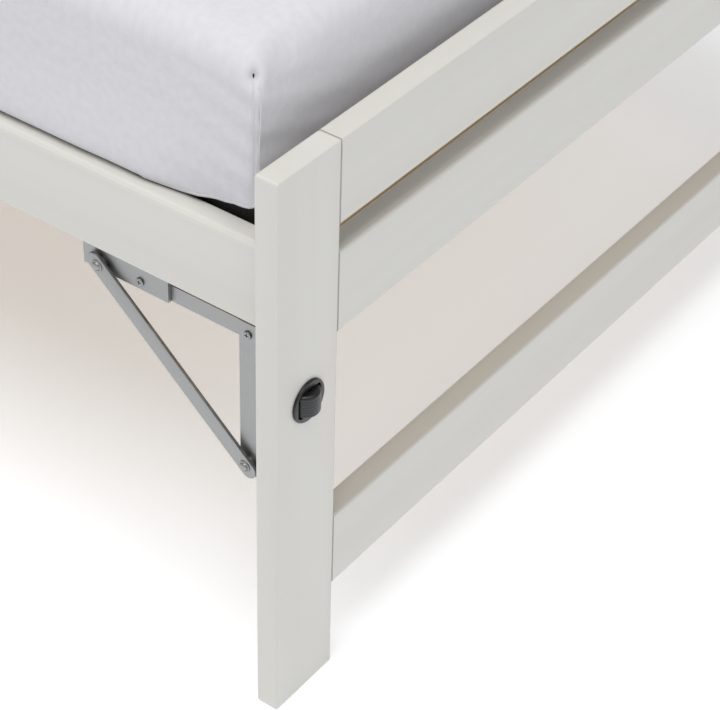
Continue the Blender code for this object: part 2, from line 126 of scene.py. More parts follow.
# %% Helpers for materials
def linear(hex_colour):
    values = [int(hex_colour[i : i + 2], 16) / 255 for i in (1, 3, 5)]
    return (*(v / 12.92 if v <= 0.04045 else ((v + 0.055) / 1.055) ** 2.4 for v in values), 1.0)


def add_node(tree, kind, inputs=None, **settings):
    """Adds a node to a tree. An input takes a value, or the output that feeds it."""
    node = tree.nodes.new(kind)
    for name, value in settings.items():
        setattr(node, name, value)
    for name, value in (inputs or {}).items():
        if isinstance(value, bpy.types.NodeSocket):
            tree.links.new(value, node.inputs[name])
        else:
            node.inputs[name].default_value = value
    return node


def new_material(name, hex_colour, roughness, **shader_inputs):
    """A material with a plain Principled shader. Returns it with its tree and its shader."""
    material = bpy.data.materials.new(name)
    material.use_nodes = True
    material.diffuse_color = linear(hex_colour)
    shader = material.node_tree.nodes["Principled BSDF"]
    shader.inputs["Base Color"].default_value = linear(hex_colour)
    shader.inputs["Roughness"].default_value = roughness
    for socket, value in shader_inputs.items():
        shader.inputs[socket.replace("_", " ")].default_value = value
    return material, material.node_tree, shader


def mixed(tree, factor, first, second):
    """The output of a colour mix between two hex colours."""
    mix = add_node(tree, "ShaderNodeMix", {0: factor, 6: linear(first), 7: linear(second)}, data_type="RGBA")
    return mix.outputs[2]


def spread(tree, value, low, high, to_low, to_high):
    """Stretches a narrow range of a noise to the range that is wanted."""
    inputs = {"Value": value, "From Min": low, "From Max": high, "To Min": to_low, "To Max": to_high}
    return add_node(tree, "ShaderNodeMapRange", inputs).outputs["Result"]


# %% [markdown]
# The floor is a pale matt sheet, large enough to fill every view. A white sky gives the even light of a
# studio, and one large soft panel above the left side makes the top faces and the long side the
# brightest, with the end of the bed a little darker, so that every edge reads.

# %% Floor, sky and soft panels
floor_finish, floor_tree, floor_shader = new_material("matt_white_floor", "#F7F7F6", 0.9)
floor_shader.inputs["Emission Color"].default_value = linear("#FFFFFF")
floor_shader.inputs["Emission Strength"].default_value = 0.35
floor_noise = add_node(floor_tree, "ShaderNodeTexNoise", {"Scale": 0.8, "Detail": 1.0})
floor_shade = spread(floor_tree, floor_noise.outputs["Fac"], 0.3, 0.7, 0.0, 1.0)
floor_tree.links.new(mixed(floor_tree, floor_shade, "#F1F4F9", "#EEF1F6"), floor_shader.inputs["Base Color"])

floor_mesh = bpy.data.meshes.new("floor")
FLOOR_REACH = 14.0
floor_corners = [(x * FLOOR_REACH, y * FLOOR_REACH, -0.0004) for x, y in ((-1, -1), (1, -1), (1, 1), (-1, 1))]
floor_mesh.from_pydata(floor_corners, [], [(0, 1, 2, 3)])
floor_mesh.materials.append(floor_finish)
floor = bpy.data.objects.new("floor", floor_mesh)
bpy.context.scene.collection.objects.link(floor)

sky = bpy.data.worlds.new("white_studio")
sky.use_nodes = True
sky.node_tree.nodes["Background"].inputs["Color"].default_value = linear("#FFFFFF")
sky.node_tree.nodes["Background"].inputs["Strength"].default_value = 0.40
bpy.context.scene.world = sky


def soft_panel(name, place, target, size, watts):
    light_data = bpy.data.lights.new(name, "AREA")
    light_data.shape = "SQUARE"
    light_data.size = size
    light_data.energy = watts
    light = bpy.data.objects.new(name, light_data)
    direction = (Vector(target) - Vector(place)).normalized()
    light.matrix_world = Matrix.Translation(place) @ direction.to_track_quat("-Z", "Y").to_matrix().to_4x4()
    bpy.context.scene.collection.objects.link(light)
    return light


soft_panel("panel_above_left", (0.9, -1.4, 3.6), (0.8, -0.2, 0.3), 2.2, 84)
soft_panel("panel_beyond_foot", (3.0, -0.5, 2.6), (0.95, -0.2, 0.5), 1.8, 15)
print("one floor, one sky, two panels")

# %% [markdown]
# ## Painted pine
#
# The posts, boards and rails are planed pine, primed and sprayed with satin water-based paint. That gives
# a warm off-white with a soft broad gloss, a faint trace of the grain standing up through the paint, and
# the fine pebbling that sprayed paint has. Grain runs along each board, so the pattern is stretched along
# the board's own axis. A picture of wood would be quicker, but procedural noise has no size limit and
# needs no file.

# %% Painted pine
GRAIN_WIDTH_MM = 3.2  # across the grain, for earlywood and latewood lines as paint leaves them
GRAIN_STRETCH = 0.045  # lines are some twenty times as long as they are wide
PAINT_PEBBLE_MM = 1.1


def along_grain(tree, axis, stretch):
    """Object coordinates squeezed along the grain."""
    place = add_node(tree, "ShaderNodeTexCoord").outputs["Object"]
    scale = [1.0, 1.0, 1.0]
    scale["XYZ".index(axis)] = stretch
    return place, add_node(tree, "ShaderNodeMapping", {"Vector": place, "Scale": scale}).outputs["Vector"]


def painted_pine(axis):
    """Satin white spray paint over planed pine: smooth, with a trace of grain in low relief."""
    material, tree, shader = new_material(f"painted_pine_{axis.lower()}", "#D0CEC8", 0.42, Coat_Weight=0.12)
    shader.inputs["Coat Roughness"].default_value = 0.25
    place, stretched = along_grain(tree, axis, GRAIN_STRETCH)
    grain_size = {"Scale": 1000 / GRAIN_WIDTH_MM, "Detail": 4.0}
    grain = add_node(tree, "ShaderNodeTexNoise", {"Vector": stretched, **grain_size})
    pebble_size = {"Scale": 1000 / PAINT_PEBBLE_MM, "Detail": 2.0}
    pebble = add_node(tree, "ShaderNodeTexNoise", {"Vector": place, **pebble_size})
    heights = {0: grain.outputs["Fac"], 1: 0.6, 2: pebble.outputs["Fac"]}
    relief = add_node(tree, "ShaderNodeMath", heights, operation="MULTIPLY_ADD")
    bump = add_node(tree, "ShaderNodeBump", {"Strength": 0.10, "Distance": 0.0004, "Height": relief.outputs[0]})
    tree.links.new(bump.outputs["Normal"], shader.inputs["Normal"])
    cloud = add_node(tree, "ShaderNodeTexNoise", {"Vector": stretched, "Scale": 22.0, "Detail": 3.0})
    shade = spread(tree, cloud.outputs["Fac"], 0.35, 0.65, 0.0, 1.0)
    tree.links.new(mixed(tree, shade, "#D2D0CA", "#CDCBC4"), shader.inputs["Base Color"])
    gloss = spread(tree, pebble.outputs["Fac"], 0.3, 0.7, 0.38, 0.47)
    tree.links.new(gloss, shader.inputs["Roughness"])
    return material


PAINT = {axis: painted_pine(axis) for axis in "XYZ"}
print("painted pine along", ", ".join(PAINT))

# %% [markdown]
# ## Bare pine
#
# The slats, the ledges they lie on and the cross rails are never seen in use, so they are left as planed
# pine: pale yellow earlywood with browner latewood lines and fine fibres. A stretched wave texture bent by
# noise draws the growth lines, which a plain noise would leave as blotches.

# %% Bare pine
GROWTH_LINE_MM = 7.0
FIBRE_MM = 0.9


def bare_pine(axis):
    """Planed unpainted pine: growth lines about 7 mm apart, with fibres between them."""
    material, tree, shader = new_material(f"bare_pine_{axis.lower()}", "#DFC193", 0.58)
    place, stretched = along_grain(tree, axis, 0.05)
    across = "Z" if axis == "X" else "X"
    lines = add_node(
        tree,
        "ShaderNodeTexWave",
        {"Vector": stretched, "Scale": 1000 / GROWTH_LINE_MM / 6.28, "Distortion": 5.0, "Detail": 3.0},
        bands_direction=across,
    )
    fibre_size = {"Scale": 1000 / FIBRE_MM, "Detail": 3.0}
    fibres = add_node(tree, "ShaderNodeTexNoise", {"Vector": stretched, **fibre_size})
    growth = spread(tree, lines.outputs["Fac"], 0.15, 0.95, 0.0, 1.0)
    wood = add_node(tree, "ShaderNodeMix", {0: 0.25, 6: linear("#DDBE8D")}, data_type="RGBA")
    tree.links.new(mixed(tree, growth, "#E4C99C", "#CDA570"), wood.inputs[6])
    tree.links.new(mixed(tree, fibres.outputs["Fac"], "#EAD3AC", "#BF9663"), wood.inputs[7])
    tree.links.new(wood.outputs[2], shader.inputs["Base Color"])
    depth = {"Strength": 0.25, "Distance": 0.0003}
    bump = add_node(tree, "ShaderNodeBump", {"Height": fibres.outputs["Fac"], **depth})
    tree.links.new(bump.outputs["Normal"], shader.inputs["Normal"])
    return material


BARE = {axis: bare_pine(axis) for axis in "XY"}
print("bare pine along", ", ".join(BARE))

# %% [markdown]
# ## Zinc-plated steel
#
# Links, struts, brackets and angles are 3 mm mild steel strip, punched and tumbled, then zinc-plated. Zinc
# gives a neutral satin grey with faint cloudiness and fine rolling marks along the strip. The cloudiness
# is in the roughness, where a metal shows it, more than in the colour.

# %% Zinc-plated steel
ROLLING_MARK_MM = 0.5
ZINC_CLOUD_MM = 14.0

zinc, zinc_tree, zinc_shader = new_material("zinc_plated_steel", "#9C9C9B", 0.42, Metallic=1.0)
zinc_place = add_node(zinc_tree, "ShaderNodeTexCoord").outputs["Object"]
zinc_along = add_node(zinc_tree, "ShaderNodeMapping", {"Vector": zinc_place, "Scale": (0.08, 1.0, 0.08)})
zinc_marks = add_node(
    zinc_tree, "ShaderNodeTexNoise", {"Vector": zinc_along.outputs[0], "Scale": 1000 / ROLLING_MARK_MM}
)
zinc_cloud = add_node(
    zinc_tree, "ShaderNodeTexNoise", {"Vector": zinc_place, "Scale": 1000 / ZINC_CLOUD_MM, "Detail": 4.0}
)
zinc_dull = spread(zinc_tree, zinc_cloud.outputs["Fac"], 0.3, 0.7, 0.36, 0.52)
zinc_tree.links.new(zinc_dull, zinc_shader.inputs["Roughness"])
zinc_tone = spread(zinc_tree, zinc_cloud.outputs["Fac"], 0.3, 0.7, 0.0, 1.0)
zinc_tree.links.new(mixed(zinc_tree, zinc_tone, "#969695", "#A2A2A1"), zinc_shader.inputs["Base Color"])
zinc_bump = add_node(
    zinc_tree, "ShaderNodeBump", {"Strength": 0.08, "Distance": 0.0002, "Height": zinc_marks.outputs["Fac"]}
)
zinc_tree.links.new(zinc_bump.outputs["Normal"], zinc_shader.inputs["Normal"])

# %% [markdown]
# ## Black nylon
#
# The rollers and the cups they turn in are moulded glass-filled nylon: nearly black, with a soft gloss and
# the fine spark-eroded texture of the mould.

# %% Black nylon
MOULD_TEXTURE_MM = 0.45

nylon, nylon_tree, nylon_shader = new_material("black_nylon", "#101011", 0.36, IOR=1.53)
nylon_place = add_node(nylon_tree, "ShaderNodeTexCoord").outputs["Object"]
nylon_grit = add_node(
    nylon_tree, "ShaderNodeTexNoise", {"Vector": nylon_place, "Scale": 1000 / MOULD_TEXTURE_MM, "Detail": 2.0}
)
nylon_bump = add_node(
    nylon_tree, "ShaderNodeBump", {"Strength": 0.15, "Distance": 0.0002, "Height": nylon_grit.outputs["Fac"]}
)
nylon_tree.links.new(nylon_bump.outputs["Normal"], nylon_shader.inputs["Normal"])
nylon_tree.links.new(
    mixed(nylon_tree, nylon_grit.outputs["Fac"], "#0C0C0D", "#161617"), nylon_shader.inputs["Base Color"]
)
nylon_tree.links.new(
    spread(nylon_tree, nylon_grit.outputs["Fac"], 0.3, 0.7, 0.30, 0.42), nylon_shader.inputs["Roughness"]
)

# %% [markdown]
# ## Cotton, cover cloth and elastic
#
# The fitted sheet is white percale: a plain weave of very fine yarn, nearly smooth, with a soft sheen at
# grazing angles. Real threads are a quarter of a millimetre apart and would not show, so the weave is
# drawn at 1.1 mm. It follows the sheet's own flat pattern, which is kept as a UV map in metres. The
# mattress under it has a black knitted polyester cover.

# %% Percale cotton
WEAVE_MM = 1.1  # coarser than the real 0.25 mm, so that it can show
SHEET_UV = "flat_cloth"

percale, percale_tree, percale_shader = new_material("percale_cotton", "#D1D0D4", 0.88, Sheen_Weight=0.12)
percale_shader.inputs["Sheen Roughness"].default_value = 0.5
percale_shader.inputs["Specular IOR Level"].default_value = 0.25
flat_place = add_node(percale_tree, "ShaderNodeUVMap", uv_map=SHEET_UV).outputs["UV"]
threads = [
    add_node(
        percale_tree,
        "ShaderNodeTexWave",
        {"Vector": flat_place, "Scale": 1000 / WEAVE_MM / 6.28, "Distortion": 0.6, "Detail Scale": 2.0},
        bands_direction=direction,
    )
    for direction in "XY"
]
thread_tops = {0: threads[0].outputs["Fac"], 1: threads[1].outputs["Fac"]}
weave = add_node(percale_tree, "ShaderNodeMath", thread_tops, operation="MAXIMUM")
slub = add_node(percale_tree, "ShaderNodeTexNoise", {"Vector": flat_place, "Scale": 160.0, "Detail": 4.0})
cloth_heights = {0: weave.outputs[0], 1: slub.outputs["Fac"]}
cloth_height = add_node(percale_tree, "ShaderNodeMath", cloth_heights, operation="ADD")
percale_bump = add_node(
    percale_tree, "ShaderNodeBump", {"Strength": 0.12, "Distance": 0.0004, "Height": cloth_height.outputs[0]}
)
percale_tree.links.new(percale_bump.outputs["Normal"], percale_shader.inputs["Normal"])
percale_tone = spread(percale_tree, slub.outputs["Fac"], 0.3, 0.7, 0.0, 1.0)
percale_colour = mixed(percale_tree, percale_tone, "#D4D3D7", "#CECDD1")
percale_tree.links.new(percale_colour, percale_shader.inputs["Base Color"])

# %% Knitted cover
KNIT_MM = 1.6

knit, knit_tree, knit_shader = new_material("black_knitted_polyester", "#0D0C0B", 0.8, Sheen_Weight=0.05)
knit_place = add_node(knit_tree, "ShaderNodeTexCoord").outputs["Object"]
knit_cells = add_node(knit_tree, "ShaderNodeTexVoronoi", {"Vector": knit_place, "Scale": 1000 / KNIT_MM})
knit_bump = add_node(
    knit_tree, "ShaderNodeBump", {"Strength": 0.4, "Distance": 0.0005, "Height": knit_cells.outputs["Distance"]}
)
knit_tree.links.new(knit_bump.outputs["Normal"], knit_shader.inputs["Normal"])
knit_tree.links.new(
    mixed(knit_tree, knit_cells.outputs["Distance"], "#080706", "#131110"), knit_shader.inputs["Base Color"]
)

print("five finishes besides the paint:", "bare pine, zinc, nylon, percale, knit")

# %% [markdown]
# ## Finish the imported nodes
#
# Boards and strips already have their true shapes, so they stay and only take a better finish. The paint's
# grain must run along each board, which the node's own box tells: its longest side is the grain.


# %% Give each node its finish
def longest_axis(node_name):
    low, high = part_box(node_name)
    sides = [high[i] - low[i] for i in range(3)]
    return "XYZ"[sides.index(max(sides))]


def finish_for(node_name):
    if "roller" in node_name:
        return nylon
    if node_name.endswith(("link", "strut", "bracket", "angle", "pin")):
        return zinc
    if node_name.startswith("slat") or node_name.endswith(("ledge", "cross_rail")):
        return BARE[longest_axis(node_name)]
    return PAINT[longest_axis(node_name)]


finished = 0
for node_name, node in nodes.items():
    if node_name == "mattress":
        continue
    for material_slot in node.material_slots:
        material_slot.material = finish_for(node_name)
        finished += 1
print("nodes finished:", finished)

# %% [markdown]
# ## The shape of the mattress
#
# The mattress is a foam block that the fitted sheet pulls tight. Seen from above, its sides bow outwards
# and its corners are drawn in. Seen along the bed, its sides swell over the tops of the rails and are
# squeezed in between them lower down. One function gives that surface, and the cover and the sheet are
# the same surface at two offsets, so they can never cut through each other.
#
# The net of quads is finer where the surface bends: rings near the edge follow a quarter circle, and the
# middle of the top needs only coarse squares.

# %% The surface of the made-up mattress
SIDE_FACE_INSET = 0.0225  # the swollen side, from the side's outer face
END_FACE_INSET = 0.0350  # the end, from the end's outer face
TOP_HEIGHT = mattress_high[2] + 0.0015
CROWN = 0.0035
EDGE_RADIUS = 0.026
CORNER_RADIUS = 0.012
CORNER_DRAWN_IN = 0.0055
CORNER_DRAW_REACH = 0.09
CORNER_SAG = 0.004  # the top falls this much over a corner
CORNER_SAG_REACH = 0.07
DRAW_BLEND = 0.2  # the top takes up the bow of the sides over this width
LOW_BULGE = 0.0035  # the side leans out this much just above the rail
RAIL_SQUEEZE = LOW_BULGE + (side_face - SIDE_FACE_INSET) - (rail_inner - 0.0012)
SWELL_RADIUS = 0.006
SWELL_STARTS = 0.045  # from the corner, where the side begins to swell over the rail
SWELL_FULL = 0.110
CORNER_TUCK = 0.0035  # the side curls in this much at the foot of a corner
SIDE_HEIGHT = TOP_HEIGHT - EDGE_RADIUS

half_length = end_face - END_FACE_INSET
half_width = side_face - SIDE_FACE_INSET
print(f"made-up mattress {2 * half_length:.3f} x {2 * half_width:.3f}")
print(f"squeezed in {RAIL_SQUEEZE * 1000:.1f} mm between the rails")


def smooth_step(value, low, high):
    t = min(max((value - low) / (high - low), 0.0), 1.0)
    return t * t * (3 - 2 * t)


def grid_lines(half, coarse):
    """Distances from the middle: coarse in the middle, then rings that follow the rounded edge."""
    rings = [EDGE_RADIUS * (1 - math.cos(math.radians(a))) for a in (0, 15, 30, 45, 60, 75, 90)]
    rings += [0.034, 0.044, 0.057]
    reach = half - 0.070
    steps = math.ceil(reach / coarse)
    inner = [reach * i / steps for i in range(steps + 1)]
    one_side = inner + [half - ring for ring in reversed(rings)]
    return [-v for v in reversed(one_side[1:])] + one_side


def drawn_in(from_corner):
    """How far a side lies inside its straight line, this far from the corner."""
    return CORNER_DRAWN_IN * math.exp(-max(from_corner, 0.0) / CORNER_DRAW_REACH)


def round_in_plan(x, y):
    """A point of the square-cornered net, moved to the outline with rounded corners."""
    u = (abs(x) - (half_length - CORNER_RADIUS)) / CORNER_RADIUS
    v = (abs(y) - (half_width - CORNER_RADIUS)) / CORNER_RADIUS
    if u > 0 and v > 0:
        u, v = u * math.sqrt(1 - v * v / 2), v * math.sqrt(1 - u * u / 2)
        x = math.copysign(half_length - CORNER_RADIUS * (1 - u), x)
        y = math.copysign(half_width - CORNER_RADIUS * (1 - v), y)
    return x, y


def edge_distance(x, y):
    """How far a point of the plan lies inside the rounded outline."""
    u = max(abs(x) - (half_length - CORNER_RADIUS), 0.0)
    v = max(abs(y) - (half_width - CORNER_RADIUS), 0.0)
    if u > 0 and v > 0:
        return max(CORNER_RADIUS - math.hypot(u, v), 0.0)
    return max(min(half_length - abs(x), half_width - abs(y)), 0.0)


def outward(x, y):
    """The plan direction that the outline faces near a point of it."""
    u = max(abs(x) - (half_length - CORNER_RADIUS), 0.0)
    v = max(abs(y) - (half_width - CORNER_RADIUS), 0.0)
    if u == 0 and v == 0:
        return Vector((0.0, math.copysign(1.0, y)))
    return Vector((math.copysign(u, x), math.copysign(v, y))).normalized()


def rail_pinch(x, z, facing_y):
    """How far the side is squeezed in at height z, because the rails hold it below their tops."""
    from_corner = half_length - abs(x)
    swell = smooth_step(from_corner, SWELL_STARTS, SWELL_FULL)
    drop = rail_top + 0.0012 + SWELL_RADIUS - z
    if drop <= 0:
        swollen = 0.0
    elif drop < SWELL_RADIUS:
        swollen = SWELL_RADIUS - math.sqrt(SWELL_RADIUS**2 - drop**2)
    else:
        swollen = RAIL_SQUEEZE
    swollen = min(swollen, RAIL_SQUEEZE)
    plain = CORNER_TUCK * (1 - smooth_step(z, rail_top + 0.002, rail_top + 0.045))
    bulge = LOW_BULGE * (1 - smooth_step(z, rail_top + 0.010, rail_top + 0.070))
    return (plain + (swollen - bulge - plain) * swell) * facing_y**2


def ripple(point, size, height, seed):
    """Soft unevenness of the surface: noise whose hollows are `size` apart."""
    return height * noise.noise(Vector(point) / size + Vector((seed, 2.7 * seed, -seed)))


def mattress_point(x, y, z, offset):
    """A point of the outline net, at height z below the rounded edge, moved out by offset."""
    px, py = round_in_plan(x, y)
    facing = outward(px, py)
    inwards = rail_pinch(px, z, facing.y)
    px -= math.copysign(drawn_in(half_width - abs(py)), px) * facing.x**2
    py -= math.copysign(drawn_in(half_length - abs(px)), py) * facing.y**2
    away = offset - inwards
    return Vector((px + facing.x * away, py + facing.y * away, z))


def top_point(x, y, offset):
    """A point of the top, crowned in the middle and rounded over at its edge."""
    px, py = round_in_plan(x, y)
    inside = edge_distance(px, py)
    facing = outward(px, py) if inside < EDGE_RADIUS else Vector((0.0, 0.0))
    reach = min(inside, EDGE_RADIUS)
    lean = (EDGE_RADIUS - reach) / EDGE_RADIUS
    rise = math.sqrt(max(1 - lean * lean, 0.0))
    crown = CROWN * (1 - (px / half_length) ** 4) * (1 - (py / half_width) ** 4)
    from_corner = math.hypot(half_length - abs(px), half_width - abs(py))
    sag = CORNER_SAG * math.exp(-((from_corner / CORNER_SAG_REACH) ** 2))
    near_end = smooth_step(abs(px), half_length - DRAW_BLEND, half_length)
    px -= math.copysign(drawn_in(half_width - abs(py)), px) * near_end
    near_side = smooth_step(abs(py), half_width - DRAW_BLEND, half_width)
    py -= math.copysign(drawn_in(half_length - abs(px)), py) * near_side
    z = SIDE_HEIGHT + EDGE_RADIUS * rise + (crown - sag) * rise + offset * rise
    return Vector((px + facing.x * offset * lean, py + facing.y * offset * lean, z))


# %% [markdown]
# ## The net
#
# The top is a grid. Its border carries on down as columns, each with the same number of rows, so the
# whole sheet is quads and can be subdivided. How far a column reaches is the only thing that differs
# between the cover and the sheet: the cover goes to the bottom and closes, the sheet ends at its hem.

# %% Build the net
NET_SPACING = 0.0165  # of the coarse squares
X_LINES = grid_lines(half_length, NET_SPACING)
Y_LINES = grid_lines(half_width, NET_SPACING)
print("net of the top:", len(X_LINES), "by", len(Y_LINES))


def border_of_grid():
    """Grid indices round the border, anticlockwise from above, starting at the head-left corner."""
    last_x, last_y = len(X_LINES) - 1, len(Y_LINES) - 1
    border = [(i, 0) for i in range(last_x)]
    border += [(last_x, j) for j in range(last_y)]
    border += [(i, last_y) for i in range(last_x, 0, -1)]
    border += [(0, j) for j in range(last_y, 0, -1)]
    return border


def new_piece(name, mesh, material):
    piece = bpy.data.objects.new(name, mesh)
    mesh.materials.clear()
    mesh.materials.append(material)
    bpy.context.scene.collection.objects.link(piece)
    return piece


def mesh_piece(name, points, faces, material):
    mesh = bpy.data.meshes.new(name)
    mesh.from_pydata(points, [], faces)
    mesh.polygons.foreach_set("use_smooth", [True] * len(mesh.polygons))
    mesh.update()
    return new_piece(name, mesh, material)


def facing_out(piece, merge=1e-6):
    """Merges points closer than merge, then turns every face of a closed piece outwards."""
    work = bmesh.new()
    work.from_mesh(piece.data)
    if merge:
        bmesh.ops.remove_doubles(work, verts=work.verts, dist=merge)
    bmesh.ops.recalc_face_normals(work, faces=work.faces)
    work.to_mesh(piece.data)
    work.free()
    piece.data.update()
    return piece


# %% [markdown]
# ## The mattress in its cover
#
# A padded piece that the sheet hides almost wholly: only a black line of it shows under the lifted
# corners of the hem. It starts slightly small and is blown up by a short cloth simulation with air
# pressure inside, which rounds its faces as foam does. The move is capped, so it can't swell into the
# sheet over it or the slats under it.

# %% Mattress cover
COVER_UNDER_SHEET = 0.0032
COVER_BOTTOM = slat_top + 0.0022
COVER_SWELL_CAP = 0.0016
COVER_BOTTOM_RADIUS = 0.008
COVER_ROWS = 14
AIR_PRESSURE = 4.0
AIR_FRAMES = 12


def cover_mesh():
    points, faces, index = [], [], {}
    deep = -COVER_UNDER_SHEET - COVER_SWELL_CAP
    for i, x in enumerate(X_LINES):
        for j, y in enumerate(Y_LINES):
            index["top", i, j] = len(points)
            points.append(top_point(x, y, deep))
    squares = [(i, j) for i in range(len(X_LINES) - 1) for j in range(len(Y_LINES) - 1)]
    for i, j in squares:
        faces.append([index["top", *c] for c in ((i, j), (i + 1, j), (i + 1, j + 1), (i, j + 1))])
    border = border_of_grid()
    ring = [index["top", *c] for c in border]
    low = COVER_BOTTOM + COVER_BOTTOM_RADIUS
    for row in range(1, COVER_ROWS + 1):
        z = SIDE_HEIGHT + (low - SIDE_HEIGHT) * row / COVER_ROWS
        new_ring = []
        for i, j in border:
            new_ring.append(len(points))
            points.append(mattress_point(X_LINES[i], Y_LINES[j], z, deep))
        faces += [[ring[k], new_ring[k], new_ring[k - 1], ring[k - 1]] for k in range(len(ring))]
        ring = new_ring
    on_border = set(border)
    limit_x = half_length - COVER_UNDER_SHEET - COVER_SWELL_CAP
    limit_y = rail_inner - COVER_UNDER_SHEET - COVER_SWELL_CAP
    shrink = COVER_BOTTOM_RADIUS
    for i, x in enumerate(X_LINES):
        for j, y in enumerate(Y_LINES):
            index["under", i, j] = len(points)
            plan = round_in_plan(x, y)
            point, direction = Vector(plan), Vector((0.0, 0.0))
            if (i, j) in on_border:
                point, direction = mattress_point(x, y, low, deep), outward(*plan)
            px = max(min(point.x - direction.x * shrink, limit_x - shrink), shrink - limit_x)
            py = max(min(point.y - direction.y * shrink, limit_y - shrink), shrink - limit_y)
            points.append(Vector((px, py, COVER_BOTTOM)))
    for i, j in squares:
        faces.append([index["under", *c] for c in ((i, j), (i, j + 1), (i + 1, j + 1), (i + 1, j))])
    under_ring = [index["under", *c] for c in border]
    faces += [[ring[k], under_ring[k], under_ring[k - 1], ring[k - 1]] for k in range(len(ring))]
    return points, faces


cover_points, cover_faces = cover_mesh()
mattress_cover = mesh_piece("mattress_cover", cover_points, cover_faces, knit)
print("cover:", len(cover_points), "points")


def inflate(piece, pressure, frames, cap):
    """Blows a closed piece up by a cloth simulation, lets no point move further than cap, and keeps it."""
    rest = np.empty(len(piece.data.vertices) * 3)
    piece.data.vertices.foreach_get("co", rest)
    cloth = piece.modifiers.new("air", "CLOTH")
    cloth.settings.quality = 4
    cloth.settings.tension_stiffness = 25.0
    cloth.settings.compression_stiffness = 25.0
    cloth.settings.use_pressure = True
    cloth.settings.uniform_pressure_force = pressure
    cloth.settings.effector_weights.gravity = 0.0
    cloth.collision_settings.use_collision = False
    scene = bpy.context.scene
    for step in range(1, frames + 1):
        scene.frame_set(step)
    blown = np.empty_like(rest)
    evaluated = piece.evaluated_get(bpy.context.evaluated_depsgraph_get())
    evaluated.data.vertices.foreach_get("co", blown)
    piece.modifiers.remove(cloth)
    scene.frame_set(1)
    move = (blown - rest).reshape(-1, 3)
    length = np.linalg.norm(move, axis=1, keepdims=True)
    move *= np.minimum(1.0, cap / np.maximum(length, 1e-9))
    piece.data.vertices.foreach_set("co", rest + move.reshape(-1))
    piece.data.update()
    return float(np.abs(length).max())


free_move = inflate(mattress_cover, AIR_PRESSURE, AIR_FRAMES, COVER_SWELL_CAP)
print("cover blown up, largest free move", free_move)
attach(mattress_cover, "base")
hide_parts("mattress")

# %% [markdown]
# ## The fitted sheet
#
# A fitted sheet is one rectangle of cloth with a square cut from each corner. The cut edges are sewn
# together, which makes four upright seams, and an elastic hem draws the edge in underneath. Along the
# sides the hem is tucked under the mattress. At each corner it has ridden up, above the top of the rail.
#
# The columns of the net are followed by their length of cloth, not by height, so that the hem can be
# short at the corners and long in between. Each point's place on the flat cloth is kept as its UV.

# %% The path of a column of the sheet
DROP_AT_CORNER = 0.101  # cloth from the rounded edge to the hem, at a corner
DROP_BETWEEN = 0.205  # and far from the corners, where it turns under the mattress
DROP_SLOPE = 0.165  # the hem falls this much for each length along, near the corner
DROP_SLOPE_ENDS = 0.075
DROP_REACH = 0.42
SHEET_BOTTOM = slat_top + 0.0009
UNDER_RADIUS = 0.006
SHEET_ROWS = 26
GATHER_PITCH = 0.021
GATHER_HEIGHT = 0.0011
GATHER_FROM_HEM = 0.030


def hem_drop(x, y):
    """Length of cloth from the rounded edge to the hem: a straight fall near the corner, then a soft one."""
    from_corner = max(half_length - abs(x), half_width - abs(y))
    near = DROP_AT_CORNER + DROP_SLOPE * min(from_corner, DROP_SLOPE_ENDS)
    return near + (DROP_BETWEEN - near) * smooth_step(from_corner, DROP_SLOPE_ENDS, DROP_REACH)


def sheet_column(x, y):
    """Points down one column, at equal lengths of cloth, each with the length from the edge."""
    low = SHEET_BOTTOM + UNDER_RADIUS
    path = [mattress_point(x, y, SIDE_HEIGHT + (low - SIDE_HEIGHT) * i / 90, 0.0) for i in range(91)]
    facing = outward(*round_in_plan(x, y)).to_3d()
    foot = path[-1].copy()
    for angle in (22.5, 45.0, 67.5, 90.0):
        turn = math.radians(angle)
        back = facing * (UNDER_RADIUS * (1 - math.cos(turn)))
        path.append(foot - back - Vector((0.0, 0.0, UNDER_RADIUS * math.sin(turn))))
    path.append(path[-1] - facing * 0.12)
    lengths = [0.0]
    for first, second in zip(path, path[1:]):
        lengths.append(lengths[-1] + (second - first).length)
    total = hem_drop(x, y)
    column = []
    for row in range(1, SHEET_ROWS + 1):
        wanted = total * row / SHEET_ROWS
        at = next(i for i, length in enumerate(lengths) if length >= wanted)
        part = (wanted - lengths[at - 1]) / (lengths[at] - lengths[at - 1])
        column.append((path[at - 1].lerp(path[at], part), wanted))
    return column


# Each mark of the seam is a smooth mound or hollow: where its middle is, and how wide and long it is.
SEAM_REACH = 0.06  # nothing of the seam shows further from a corner than this
SEAM_TOP = 0.022
SEAM_ROUNDING = 0.78  # length round the corner for each length along the two sides
SEAM_GROOVE, GROOVE_WIDTH, GROOVE_FADE = 0.0020, 0.0022, 0.004
SEAM_DIMPLE_DEPTH, DIMPLE_WIDTH, DIMPLE_LENGTH = 0.0058, 0.0036, 0.0060
SEAM_DIMPLE_BELOW_EDGE = -0.002
CHEEK_RISE, CHEEK_WIDTH, CHEEK_LENGTH = 0.0016, 0.0055, 0.014  # puffed cloth beside the dimple
CHEEK_FROM_SEAM, CHEEK_BELOW_EDGE = 0.0085, 0.004
CORNER_HOLLOW, HOLLOW_WIDTH, HOLLOW_LENGTH = 0.0030, 0.020, 0.016  # over the end of the seam
HOLLOW_FROM_SEAM, HOLLOW_ABOVE_EDGE = 0.030, 0.012


def mound(across, width, along, length):
    """A smooth mound, 1 high at its middle, that falls away across the seam and along it."""
    return math.exp(-((across / width) ** 2) - (along / length) ** 2)


